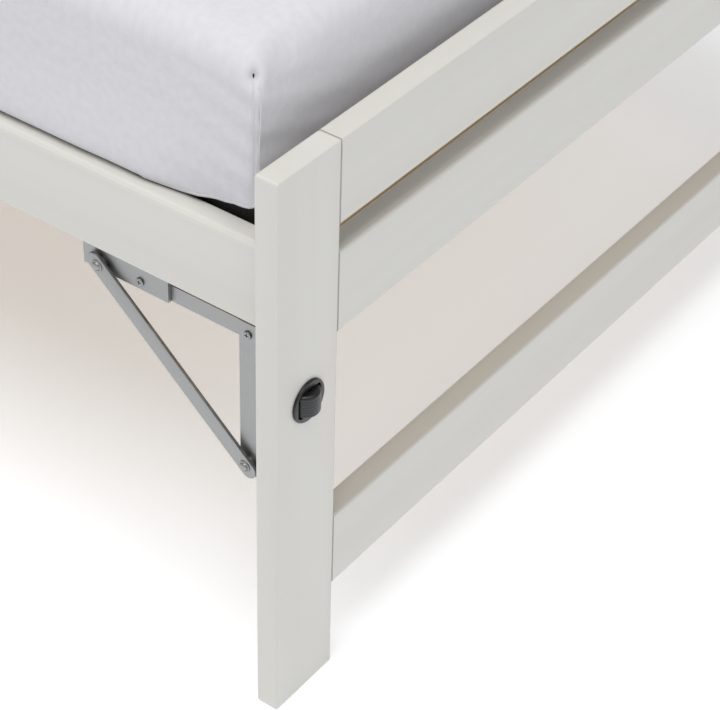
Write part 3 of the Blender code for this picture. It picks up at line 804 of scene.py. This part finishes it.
def seam_offset(point):
    """The dimple, groove and puffed cloth where an upright seam closes a mattress corner."""
    u = abs(point.x) - (half_length - CORNER_RADIUS) + drawn_in(half_width - abs(point.y))
    v = abs(point.y) - (half_width - CORNER_RADIUS) + drawn_in(half_length - abs(point.x))
    if min(u, v) < -SEAM_REACH or point.z > SIDE_HEIGHT + SEAM_TOP:
        return 0.0
    across = (v - u) * SEAM_ROUNDING if u > 0 and v > 0 else (v - u)
    below = SIDE_HEIGHT - point.z
    fade = smooth_step(below, -GROOVE_FADE, GROOVE_FADE)
    groove = SEAM_GROOVE * math.exp(-((across / GROOVE_WIDTH) ** 2)) * fade
    tear = mound(across, DIMPLE_WIDTH, below - SEAM_DIMPLE_BELOW_EDGE, DIMPLE_LENGTH)
    cheek = mound(abs(across) - CHEEK_FROM_SEAM, CHEEK_WIDTH, below - CHEEK_BELOW_EDGE, CHEEK_LENGTH)
    hollow = mound(across + HOLLOW_FROM_SEAM, HOLLOW_WIDTH, below + HOLLOW_ABOVE_EDGE, HOLLOW_LENGTH)
    return CHEEK_RISE * cheek - groove - SEAM_DIMPLE_DEPTH * tear - CORNER_HOLLOW * hollow


TOP_RIPPLES = ((0.24, 0.0016, 1.9), (0.07, 0.0004, 5.3))  # size, height and seed of each
SIDE_RIPPLES = ((0.16, 0.0011, 3.1), (0.055, 0.00035, 7.3))
DRAG_HEIGHT, DRAG_REACH = 0.0007, 0.09  # faint lines where the corner pulls the cloth
DRAG_UPRIGHT, DRAG_ALONG = 260, 90  # radians for each metre


def cloth_offset(point, along, from_hem, pinned):
    """How far the sheet stands off its smooth surface: ripples, drag lines, gathers and the seam."""
    from_corner = math.hypot(half_length - abs(point.x), half_width - abs(point.y))
    soft = sum(ripple(point, *settings) for settings in SIDE_RIPPLES)
    drag = DRAG_HEIGHT * math.exp(-from_corner / DRAG_REACH)
    drag *= math.sin(point.z * DRAG_UPRIGHT + along * DRAG_ALONG)
    gather = math.sin(along / GATHER_PITCH * 2 * math.pi) + 0.5 * math.sin(along / GATHER_PITCH * 3.7)
    gather *= GATHER_HEIGHT * math.exp(-from_hem / GATHER_FROM_HEM) * 0.5
    return (soft + drag + gather) * (1 - pinned) + seam_offset(point)


# %% Cut and drape the sheet
def sheet_mesh():
    points, faces, flat, index = [], [], [], {}
    for i, x in enumerate(X_LINES):
        for j, y in enumerate(Y_LINES):
            index[i, j] = len(points)
            point = top_point(x, y, 0.0)
            rise = sum(ripple(point, *settings) for settings in TOP_RIPPLES)
            inside = edge_distance(*round_in_plan(x, y))
            point.z += rise * smooth_step(inside, 0.0, 0.03)
            facing = outward(*round_in_plan(x, y)).to_3d()
            point += facing * seam_offset(point) * (1 - smooth_step(inside, 0.0, 0.02))
            points.append(point)
            flat.append((x, y))
    for i in range(len(X_LINES) - 1):
        for j in range(len(Y_LINES) - 1):
            faces.append([index[c] for c in ((i, j), (i + 1, j), (i + 1, j + 1), (i, j + 1))])
    border = border_of_grid()
    columns, along = [], 0.0
    previous = None
    for i, j in border:
        x, y = X_LINES[i], Y_LINES[j]
        facing = outward(*round_in_plan(x, y)).to_3d()
        start = points[index[i, j]]
        along += (start - previous).length if previous is not None else 0.0
        previous = start
        column = [index[i, j]]
        total = hem_drop(x, y)
        for point, length in sheet_column(x, y):
            held = smooth_step(rail_top + 0.010 - point.z, 0.0, 0.008) * smooth_step(
                max(half_length - abs(x), half_width - abs(y)), 0.13, 0.18
            )
            column.append(len(points))
            points.append(point + facing * cloth_offset(point, along, total - length, held))
            flat.append((x + facing.x * length, y + facing.y * length))
        columns.append(column)
    for k, column in enumerate(columns):
        other = columns[k - 1]
        faces += [[other[r], other[r + 1], column[r + 1], column[r]] for r in range(SHEET_ROWS)]
    return points, faces, flat, columns


sheet_points, sheet_faces, sheet_flat, sheet_columns = sheet_mesh()
fitted_sheet = mesh_piece("fitted_sheet", sheet_points, sheet_faces, percale)
sheet_uv = fitted_sheet.data.uv_layers.new(name=SHEET_UV)
for loop in fitted_sheet.data.loops:
    sheet_uv.data[loop.index].uv = sheet_flat[loop.vertex_index]
smoother = fitted_sheet.modifiers.new("smooth_cloth", "SUBSURF")
smoother.levels = smoother.render_levels = 1
print("sheet:", len(sheet_points), "points,", len(sheet_faces), "faces")

# %% The elastic hem
HEM_HEIGHT = 0.0020
HEM_PROUD = 0.0004
HEM_SECTION = [  # (up, out), in half heights and in HEM_PROUD
    (-1.0, 0.0), (-1.0, 0.35), (0.0, 0.75), (0.5, 0.9), (1.0, 0.75), (1.0, 0.35), (1.0, -0.35),
    (0.5, -0.5), (-1.0, -0.35),
]  # fmt: skip
HEM_MIDDLE = 0.8  # of a half height, from the end of the cloth up to the middle of the hem


def hem_mesh():
    """A folded band round the bottom edge: a flat tube as tall as the hem."""
    points, faces, flat, rings = [], [], [], []
    for column in sheet_columns:
        low, above = sheet_points[column[-1]], sheet_points[column[-3]]
        up = (above - low).normalized()
        i = column[0]
        facing = outward(sheet_points[i].x, sheet_points[i].y).to_3d()
        side = (facing - up * facing.dot(up)).normalized()
        ring = []
        for rise, out in HEM_SECTION:
            ring.append(len(points))
            points.append(low + up * (HEM_HEIGHT * (rise + HEM_MIDDLE) / 2) + side * HEM_PROUD * out)
            flat.append(sheet_flat[column[-1]])
        rings.append(ring)
    for k, ring in enumerate(rings):
        other = rings[k - 1]
        for r in range(len(ring)):
            s = (r + 1) % len(ring)
            faces.append([other[r], ring[r], ring[s], other[s]])
    return points, faces, flat


hem_points, hem_faces, hem_flat = hem_mesh()
sheet_hem = mesh_piece("sheet_hem", hem_points, hem_faces, percale)
hem_uv = sheet_hem.data.uv_layers.new(name=SHEET_UV)
for loop in sheet_hem.data.loops:
    hem_uv.data[loop.index].uv = hem_flat[loop.vertex_index]
for piece in (sheet_hem, mattress_cover):
    facing_out(piece, merge=0.0)
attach(sheet_hem, "base")
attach(fitted_sheet, "base")

# %% The raised seam at each corner
SEAM_WIDTH = 0.0014
SEAM_PROUD = 0.0008
SEAM_FROM_GROOVE = 0.0030
SEAM_SUNK = 0.0006
SEAM_STARTS = 0.004  # below the rounded edge
SEAM_WANDER = 0.0012  # no seam is sewn quite straight
SEAM_LEAN = 0.55  # the ridge leans over towards the end of the bed
SEAM_TAPER = 0.55  # it gets this much lower on its way to the hem
SEAM_STEPS, SEAM_SIDES = 40, 10


def seam_mesh():
    """A thin half-round ridge beside each groove: the seam allowance showing through the cloth."""
    points, faces = [], []
    for end_name, side_name, end, side in corners():
        tip = Vector((end * half_length, side * half_width, 0))
        corner = Vector((*round_in_plan(tip.x, tip.y), 0))
        facing = Vector((end, side, 0)).normalized()
        sideways = Vector((end, -side, 0)).normalized()
        leaning = (facing + sideways * SEAM_LEAN).normalized()
        rings = []
        for step in range(SEAM_STEPS + 1):
            part = step / SEAM_STEPS
            z = SIDE_HEIGHT - SEAM_STARTS - (DROP_AT_CORNER - 0.005) * part
            base = mattress_point(corner.x, corner.y, z, -SEAM_SUNK)
            wander = SEAM_WANDER * math.sin(part * 7.0) * (1 - part)
            base += sideways * (SEAM_FROM_GROOVE + wander)
            swell = math.sin(math.pi * min(max(part, 0.02), 0.98)) ** 0.35
            swell *= 1.0 - SEAM_TAPER * part
            ring = []
            for turn in range(SEAM_SIDES):
                angle = 2 * math.pi * turn / SEAM_SIDES
                out = leaning * (math.cos(angle) * SEAM_PROUD * swell)
                ring.append(len(points))
                points.append(base + out + sideways * (math.sin(angle) * SEAM_WIDTH * 0.5 * swell))
            rings.append(ring)
        for first, second in zip(rings, rings[1:]):
            for turn in range(SEAM_SIDES):
                after = (turn + 1) % SEAM_SIDES
                faces.append([first[turn], first[after], second[after], second[turn]])
        faces.append(list(reversed(rings[0])))
        faces.append(rings[-1])
    return points, faces


seam_points, seam_faces = seam_mesh()
corner_seams = facing_out(mesh_piece("sheet_corner_seams", seam_points, seam_faces, percale))
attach(corner_seams, "base")


# %% [markdown]
# ## Rollers and their housings
#
# Each roller is a moulded nylon wheel on an upright axle, in a cup pressed into a hole drilled in the
# post. It turns in a window with rounded corners, with plain rim above and below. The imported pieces
# have coarse rounds, so finer ones of the same size take their places: the roller is turned from a
# profile, and the housing is a skin through rings that change from the round rim to the window.

# %% Turned and lofted pieces
def lofted(rings):
    """Points and faces of a closed skin through rings with equal numbers of points."""
    points = [point for ring in rings for point in ring]
    count = len(rings[0])
    faces = []
    for low in range(0, (len(rings) - 1) * count, count):
        for k in range(count):
            after = (k + 1) % count
            faces.append([low + k, low + after, low + count + after, low + count + k])
    faces.append(list(range(count))[::-1])
    faces.append(list(range(len(points) - count, len(points))))
    return points, faces


def circle(radius, steps):
    """Points of a circle, starting half a step round so that none lies on an axis."""
    angles = [2 * math.pi * (k + 0.5) / steps for k in range(steps)]
    return [(radius * math.cos(angle), radius * math.sin(angle)) for angle in angles]


def turned(profile, steps, centre, axis):
    """A closed solid of revolution: profile is (along the axis, radius), from end to end."""
    turn = Vector(axis).to_track_quat("Z", "Y").to_matrix()
    rings = []
    for along, radius in profile:
        rings.append([turn @ Vector((x, y, along)) + Vector(centre) for x, y in circle(radius, steps)])
    return lofted(rings)


def smooth_by_angle(piece, degrees=38):
    """Soft shading, except across edges sharper than the angle."""
    piece.data.polygons.foreach_set("use_smooth", [True] * len(piece.data.polygons))
    piece.data.set_sharp_from_angle(angle=math.radians(degrees))
    return piece


def cut_away(piece, cutter):
    """Cuts one closed piece out of another for good, and removes the cutter."""
    cut = piece.modifiers.new("cut_away", "BOOLEAN")
    cut.object = cutter
    graph = bpy.context.evaluated_depsgraph_get()
    mesh = bpy.data.meshes.new_from_object(piece.evaluated_get(graph))
    piece.modifiers.clear()
    piece.data = mesh
    bpy.data.objects.remove(cutter)


# %% Rollers
ROLLER_HALF_WIDTH = 0.010
ROLLER_EDGE = 0.0025
ROLLER_CROWN = 0.0002
RIB_PITCH = 0.0024  # fine moulded ribs round the tread
RIB_DEPTH = 0.00016
AXLE_RADIUS = 0.002
HUB_RADIUS = 0.0050
HUB_SINK = 0.0008
HAIRLINE = 0.00001  # closes the pole of a turned piece


def roller_profile(radius, axle_half_length):
    """Axle stub, sunk hub, rounded edge and ribbed tread, from the middle of the roller to its top."""
    upper = []
    rows = 25
    flat = ROLLER_HALF_WIDTH - ROLLER_EDGE
    for row in range(rows):
        z = flat * row / rows
        rib = RIB_DEPTH * (0.5 - 0.5 * math.cos(2 * math.pi * z / RIB_PITCH))
        upper.append((z, radius - ROLLER_CROWN * (z / flat) ** 2 - rib))
    for step in range(7):
        angle = math.pi / 2 * step / 6
        reach = radius - ROLLER_CROWN - ROLLER_EDGE * (1 - math.cos(angle))
        upper.append((flat + ROLLER_EDGE * math.sin(angle), reach))
    upper += [(ROLLER_HALF_WIDTH, HUB_RADIUS), (ROLLER_HALF_WIDTH - HUB_SINK, HUB_RADIUS - 0.0003)]
    upper += [(ROLLER_HALF_WIDTH - HUB_SINK, AXLE_RADIUS), (axle_half_length, AXLE_RADIUS)]
    upper += [(axle_half_length, HAIRLINE)]
    return [(-z, reach) for z, reach in reversed(upper[1:])] + upper


for end_name, side_name, end, side in corners():
    node = f"{end_name}_{side_name}_roller"
    low, high = box_of(node)
    profile = roller_profile((high.y - low.y) / 2, (high.z - low.z) / 2)
    points, faces = turned(profile, 56, (low + high) / 2, (0, 0, 1))
    roller = smooth_by_angle(facing_out(mesh_piece(f"{node}_ribbed", points, faces, nylon)))
    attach(roller, node)
    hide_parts(node)
print(f"roller: {1000 * (high.y - low.y):.1f} mm across, {len(roller.data.polygons)} faces")

# %% Roller housings
WINDOW_HALF_WIDTH = 0.01295
WINDOW_HALF_HEIGHT = 0.0106
WINDOW_CORNER = 0.004
CUP_RADIUS = 0.0161
CUP_FLOOR = 0.0015
AXLE_BORE = 0.0023  # the hole in the housing that the axle turns in
RIM_ROUND = 0.0011
RIM_SEAT = 0.0003  # the rim stands this far off the post
LOFT_STEPS = 72


def window(shrunk=0.0):
    """The window's outline, with as many points as the round rim and facing the same way."""
    across, upright = WINDOW_HALF_WIDTH - WINDOW_CORNER, WINDOW_HALF_HEIGHT - WINDOW_CORNER
    corner = WINDOW_CORNER - shrunk
    outline = circle(corner, LOFT_STEPS)
    return [(x + math.copysign(across, x), y + math.copysign(upright, y)) for x, y in outline]


for end_name, side_name, end, side in corners():
    node = f"{end_name}_{side_name}_roller_housing"
    low, high = box_of(node)
    middle = (low + high) / 2
    rim_radius = (high.y - low.y) / 2
    back = min(abs(low.x), abs(high.x)) - end_face
    mouth = max(abs(low.x), abs(high.x)) - end_face
    sections = [(circle(HAIRLINE, LOFT_STEPS), back), (circle(CUP_RADIUS, LOFT_STEPS), back)]
    sections += [(circle(CUP_RADIUS, LOFT_STEPS), RIM_SEAT)]
    sections += [(circle(rim_radius, LOFT_STEPS), RIM_SEAT)]
    for step in range(6):
        angle = math.pi / 2 * step / 5
        reach = rim_radius - RIM_ROUND * (1 - math.cos(angle))
        sections.append((circle(reach, LOFT_STEPS), mouth - RIM_ROUND * (1 - math.sin(angle))))
    sections += [(window(-0.0004), mouth), (window(), mouth - 0.0004), (window(), back + CUP_FLOOR)]
    sections += [([(x * 0.01, y * 0.01) for x, y in window()], back + CUP_FLOOR)]
    rings = []
    for outline, depth in sections:
        rings.append([(end * (end_face + depth), middle.y + x, middle.z + y) for x, y in outline])
    points, faces = lofted(rings)
    housing = facing_out(mesh_piece(f"{node}_smooth", points, faces, nylon))
    low, high = box_of(f"{end_name}_{side_name}_roller")
    bore = [(low.z - high.z, AXLE_BORE), (high.z - low.z, AXLE_BORE)]
    points, faces = turned(bore, 24, (low + high) / 2, (0, 0, 1))
    cut_away(housing, facing_out(mesh_piece("axle_bore", points, faces, nylon)))
    smooth_by_angle(housing, 30)
    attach(housing, f"{end_name}_frame")
    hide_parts(node)
print(f"housing: rim {2000 * rim_radius:.1f} mm across, stands {1000 * mouth:.1f} mm proud")

# %% [markdown]
# ## Pins, rivets and screws by Geometry Nodes
#
# Small steel pieces repeat all over the linkage and under the bed, always the same shape at another
# place. One node tree puts a piece on each point, turns it to the direction stored with the point and
# spins it by a seeded random angle, because no one lines up screw slots. The tree ends by making them
# real and giving them their finish. Pins and rivets are whole, from head through shank to tail, so that
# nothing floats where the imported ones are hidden.

# %% Head shapes
def head_object(name, profile, steps, recess_radius=0.0, recess_depth=0.0):
    """A head on Z = 0 that faces +Z, turned from a profile, with a cross recess if it is asked for."""
    points, faces = turned(profile, steps, (0, 0, 0), (0, 0, 1))
    head = smooth_by_angle(facing_out(mesh_piece(name, points, faces, zinc)), 40)
    if recess_depth:
        top = max(along for along, radius in profile)
        arm, slim = recess_radius, recess_radius * 0.24
        cross = [(slim, slim), (slim, arm), (-slim, arm), (-slim, slim), (-arm, slim), (-arm, -slim)]
        cross += [(-slim, -slim), (-slim, -arm), (slim, -arm), (slim, -slim), (arm, -slim), (arm, slim)]
        levels = ((top - recess_depth, 0.7), (top + recess_depth, 1.2))
        rings = [[(x * grow, y * grow, z) for x, y in cross] for z, grow in levels]
        cutter = facing_out(mesh_piece(name + "_cross", *lofted(rings), zinc))
        cut_away(head, cutter)
        smooth_by_angle(head, 40)
    return head


STEEL_THICKNESS = 0.003
GAP = 0.0003  # between two layers of steel
PIN_RADIUS, PIN_HEAD_RADIUS, PIN_HEAD_HEIGHT = 0.0027, 0.0035, 0.0014
PIN_TAIL_RADIUS, PIN_TAIL_HEIGHT = 0.0042, 0.0018
RIVET_RADIUS, RIVET_DOME_RADIUS, RIVET_DOME_HEIGHT = 0.003, 0.005, 0.0025
SPACER_RADIUS, SPACER_THICKNESS = 0.006, 0.0019
BRACKET_TAIL = 0.003


def pin_profile():
    """From the riveted tail, through the shank, to the head. Z = 0 is the outer face of the plate."""
    back = -2 * STEEL_THICKNESS - 2 * GAP
    tail = [(back - PIN_TAIL_HEIGHT, HAIRLINE), (back - PIN_TAIL_HEIGHT, PIN_TAIL_RADIUS * 0.8)]
    tail += [(back, PIN_TAIL_RADIUS), (back, PIN_RADIUS), (GAP, PIN_RADIUS), (GAP, PIN_HEAD_RADIUS)]
    top = GAP + PIN_HEAD_HEIGHT
    for angle in (0, 22.5, 45, 67.5, 90):
        turn = math.radians(angle)
        tail.append((top - 0.0009 * (1 - math.sin(turn)), PIN_HEAD_RADIUS - 0.0009 * (1 - math.cos(turn))))
    return tail + [(top, HAIRLINE)]


def rivet_profile(tail):
    """A flat collar with a dome on it, the shank, the spacer washer and, on the upper one, a tail."""
    spacer_low = -STEEL_THICKNESS - SPACER_THICKNESS
    profile = [(spacer_low - tail, HAIRLINE), (spacer_low - tail, RIVET_RADIUS), (spacer_low, RIVET_RADIUS)]
    profile = profile if tail else [(spacer_low, HAIRLINE)]
    profile += [(spacer_low, SPACER_RADIUS), (-STEEL_THICKNESS, SPACER_RADIUS)]
    profile += [(-STEEL_THICKNESS, RIVET_RADIUS), (-GAP, RIVET_RADIUS), (-GAP, RIVET_DOME_RADIUS)]
    profile += [(0.0006, RIVET_DOME_RADIUS), (0.0009, 0.0047), (0.0009, 0.0039), (0.0006, 0.0036)]
    for angle in (0, 18, 36, 54, 72, 88):
        turn = math.radians(angle)
        profile.append((0.0007 + (RIVET_DOME_HEIGHT - 0.0007) * math.sin(turn), 0.0034 * math.cos(turn)))
    return profile + [(RIVET_DOME_HEIGHT, HAIRLINE)]


BELOW = -0.0001  # a screw head reaches this far into what it stands on
SCREW_PROFILE = [
    (BELOW, HAIRLINE), (BELOW, 0.0039), (0.0006, 0.0040), (0.0013, 0.0034), (0.0018, 0.0020),
    (0.0019, HAIRLINE),
]  # fmt: skip
pivot_pin = head_object("pivot_pin", pin_profile(), 24, 0.0021, 0.0009)
upper_rivet = head_object("upper_rivet", rivet_profile(BRACKET_TAIL), 32)
lower_rivet = head_object("lower_rivet", rivet_profile(0.0), 32)
screw_head = head_object("screw_head", SCREW_PROFILE, 24, 0.0024, 0.0011)
print("small steel:", [(head.name, len(head.data.polygons)) for head in (pivot_pin, upper_rivet, screw_head)])


# %% The node tree that places them
def heads_on_points():
    tree = bpy.data.node_groups.new("heads_on_points", "GeometryNodeTree")
    face = tree.interface
    face.new_socket("Geometry", in_out="INPUT", socket_type="NodeSocketGeometry")
    inputs = {"Head": "Object", "Size": "Float", "Spin Seed": "Int", "Finish": "Material"}
    for socket_name, kind in inputs.items():
        face.new_socket(socket_name, in_out="INPUT", socket_type=f"NodeSocket{kind}")
    face.new_socket("Geometry", in_out="OUTPUT", socket_type="NodeSocketGeometry")
    given = add_node(tree, "NodeGroupInput").outputs
    facing = add_node(tree, "GeometryNodeInputNamedAttribute", {"Name": "facing"}, data_type="FLOAT_VECTOR")
    aimed = add_node(tree, "FunctionNodeAlignRotationToVector", {"Vector": facing.outputs[0]}, axis="Z")
    angle = add_node(tree, "FunctionNodeRandomValue", {2: 0.0, 3: math.tau, "Seed": given["Spin Seed"]})
    about = add_node(tree, "ShaderNodeCombineXYZ", {"Z": angle.outputs[1]})
    turn = add_node(tree, "FunctionNodeEulerToRotation", {"Euler": about.outputs[0]})
    both = {"Rotation": aimed.outputs[0], "Rotate By": turn.outputs[0]}
    spun = add_node(tree, "FunctionNodeRotateRotation", both, rotation_space="LOCAL")
    shape = add_node(tree, "GeometryNodeObjectInfo", {"Object": given["Head"]})
    parts = {"Points": given["Geometry"], "Instance": shape.outputs["Geometry"]}
    parts |= {"Rotation": spun.outputs[0], "Scale": given["Size"]}
    placed = add_node(tree, "GeometryNodeInstanceOnPoints", parts)
    real = add_node(tree, "GeometryNodeRealizeInstances", {"Geometry": placed.outputs[0]})
    finished = {"Geometry": real.outputs[0], "Material": given["Finish"]}
    painted = add_node(tree, "GeometryNodeSetMaterial", finished)
    add_node(tree, "NodeGroupOutput", {"Geometry": painted.outputs[0]})
    return tree


HEADS_TREE = heads_on_points()


def heads(name, head, places, body):
    """One piece with a head at each (place, direction), riding on one body."""
    mesh = bpy.data.meshes.new(name)
    mesh.from_pydata([place for place, facing in places], [], [])
    stored = mesh.attributes.new("facing", "FLOAT_VECTOR", "POINT")
    stored.data.foreach_set("vector", [value for place, facing in places for value in facing])
    piece = bpy.data.objects.new(name, mesh)
    bpy.context.scene.collection.objects.link(piece)
    modifier = piece.modifiers.new("heads", "NODES")
    modifier.node_group = HEADS_TREE
    values = {"Head": head, "Size": 1.0, "Spin Seed": 7, "Finish": zinc}
    for item in HEADS_TREE.interface.items_tree:
        if item.item_type == "SOCKET" and item.in_out == "INPUT" and item.name in values:
            modifier[item.identifier] = values[item.name]
    graph = bpy.context.evaluated_depsgraph_get()
    plain_mesh = bpy.data.meshes.new_from_object(piece.evaluated_get(graph))
    piece.modifiers.clear()
    piece.data = plain_mesh
    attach(piece, body)
    return smooth_by_angle(piece, 40)


# %% Pivot pins, struts and their rivets
STRIP_HALF_WIDTH = 0.007
STRUT_OVERHANG = 0.004  # the strip runs on this far past each pivot before its round end
PUNCHED_EDGE = 0.0004
POST_PIVOT_SPACING = 0.120  # between the two pivots on a post
BRACKET_SPACING = 0.0375  # between the two pivots under a rail


def middle_of(node):
    low, high = box_of(node)
    return (low + high) / 2


def outer_y(node):
    return max(abs(value) for value in (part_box(node)[0][1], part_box(node)[1][1]))


def strip_plate(name, upper, lower, side):
    """A punched strip with round ends between two pivots, its edges slightly rounded."""
    along = (lower - upper).normalized()
    half = (lower - upper).length / 2 + STRUT_OVERHANG
    outline = []
    for middle, start in ((half, -90), (-half, 90)):
        for step in range(25):
            angle = math.radians(start + 180 * step / 24)
            outline.append((middle + STRIP_HALF_WIDTH * math.cos(angle), STRIP_HALF_WIDTH * math.sin(angle)))
    work = bmesh.new()
    face = work.faces.new([work.verts.new((x, -STEEL_THICKNESS / 2, z)) for x, z in outline])
    made = bmesh.ops.extrude_face_region(work, geom=[face])
    far_face = [item for item in made["geom"] if isinstance(item, bmesh.types.BMVert)]
    bmesh.ops.translate(work, verts=far_face, vec=(0, STEEL_THICKNESS, 0))
    rims = [edge for edge in work.edges if abs(edge.verts[0].co.y - edge.verts[1].co.y) < 1e-7]
    bmesh.ops.bevel(work, geom=rims, offset=PUNCHED_EDGE, segments=2, profile=0.5, affect="EDGES")
    centre = (upper + lower) / 2
    centre.y -= side * STEEL_THICKNESS / 2
    across = Vector((0, 1, 0))
    axes = Matrix((along, across, along.cross(across))).transposed().to_4x4()
    bmesh.ops.transform(work, matrix=Matrix.Translation(centre) @ axes, verts=work.verts)
    bmesh.ops.recalc_face_normals(work, faces=work.faces)
    mesh = bpy.data.meshes.new(name)
    work.to_mesh(mesh)
    work.free()
    return smooth_by_angle(new_piece(name, mesh, zinc))


pins = {"base": []}
for end_name, side_name, end, side in corners():
    corner_name = f"{end_name}_{side_name}"
    outward_y = Vector((0, side, 0))
    rail_pin, post_pin = middle_of(f"{corner_name}_rail_pivot_pin"), middle_of(f"{corner_name}_post_pivot_pin")
    plate_face = side * (outer_y(f"{corner_name}_rail_pivot_pin") - PIN_HEAD_HEIGHT - GAP)
    pins["base"].append(((rail_pin.x, plate_face, rail_pin.z), outward_y))
    pins.setdefault(f"{end_name}_frame", []).append(((post_pin.x, plate_face, post_pin.z), outward_y))
    strut_face = side * (outer_y(f"{corner_name}_strut") - RIVET_DOME_HEIGHT)
    upper = Vector((rail_pin.x - end * BRACKET_SPACING, strut_face, rail_pin.z))
    lower = Vector((post_pin.x, strut_face, post_pin.z - POST_PIVOT_SPACING))
    strut = strip_plate(f"{corner_name}_strut_plate", upper, lower, side)
    body = f"{corner_name}_strut"
    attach(strut, body)
    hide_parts(f"{corner_name}_strut")
    heads(f"{body}_upper_rivet", upper_rivet, [(upper, outward_y)], body)
    heads(f"{body}_lower_rivet", lower_rivet, [(lower, outward_y)], body)
    print(body, f"{1000 * (lower - upper).length:.1f} mm between its rivets")
for body, places in pins.items():
    piece = heads(f"{body}_pivot_pins", pivot_pin, places, body)
    end_names = ENDS if body == "base" else [body.split("_")[0]]
    kind = "rail" if body == "base" else "post"
    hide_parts(*[f"{e}_{s}_{kind}_pivot_pin" for e in end_names for s in SIDES])
print("pivot pins:", {body: len(places) for body, places in pins.items()})

# %% Screws that hold the steel and the ledges to the wood
SCREW_FROM_FOLD = 0.016  # from the outer face of an angle to its row of screws
LEDGE_SCREWS = 11

base_screws = []
for end_name, side_name, end, side in corners():
    low, high = box_of(f"{end_name}_{side_name}_rail_bracket")
    screw_y = side * (max(abs(low.y), abs(high.y)) - SCREW_FROM_FOLD)
    for share in (0.2, 0.5, 0.8):
        place = (low.x + (high.x - low.x) * share, screw_y, high.z - STEEL_THICKNESS)
        base_screws.append((place, (0, 0, -1)))
    low, high = box_of(f"{end_name}_{side_name}_post_angle")
    screw_y = side * (max(abs(low.y), abs(high.y)) - SCREW_FROM_FOLD)
    flange_x = max(abs(low.x), abs(high.x)) - STEEL_THICKNESS
    frame_screws = []
    for share in (0.14, 0.5, 0.86):
        frame_screws.append(((end * flange_x, screw_y, low.z + (high.z - low.z) * share), (-end, 0, 0)))
    heads(f"{end_name}_{side_name}_angle_screws", screw_head, frame_screws, f"{end_name}_frame")
for side_name, side in SIDES.items():
    low, high = box_of(f"{side_name}_slat_ledge")
    inner = side * min(abs(low.y), abs(high.y))
    for k in range(LEDGE_SCREWS):
        x = low.x + (high.x - low.x) * (k + 0.5) / LEDGE_SCREWS
        base_screws.append(((x, inner, (low.z + high.z) / 2), (0, -side, 0)))
heads("base_screws", screw_head, base_screws, "base")
print("screws on the base:", len(base_screws))
for head in (pivot_pin, upper_rivet, lower_rivet, screw_head):
    bpy.data.objects.remove(head)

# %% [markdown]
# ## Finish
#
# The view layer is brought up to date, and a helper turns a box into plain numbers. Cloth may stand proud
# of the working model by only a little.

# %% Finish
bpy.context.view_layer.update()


def plain(box):
    return [[float(v) for v in corner] for corner in box]
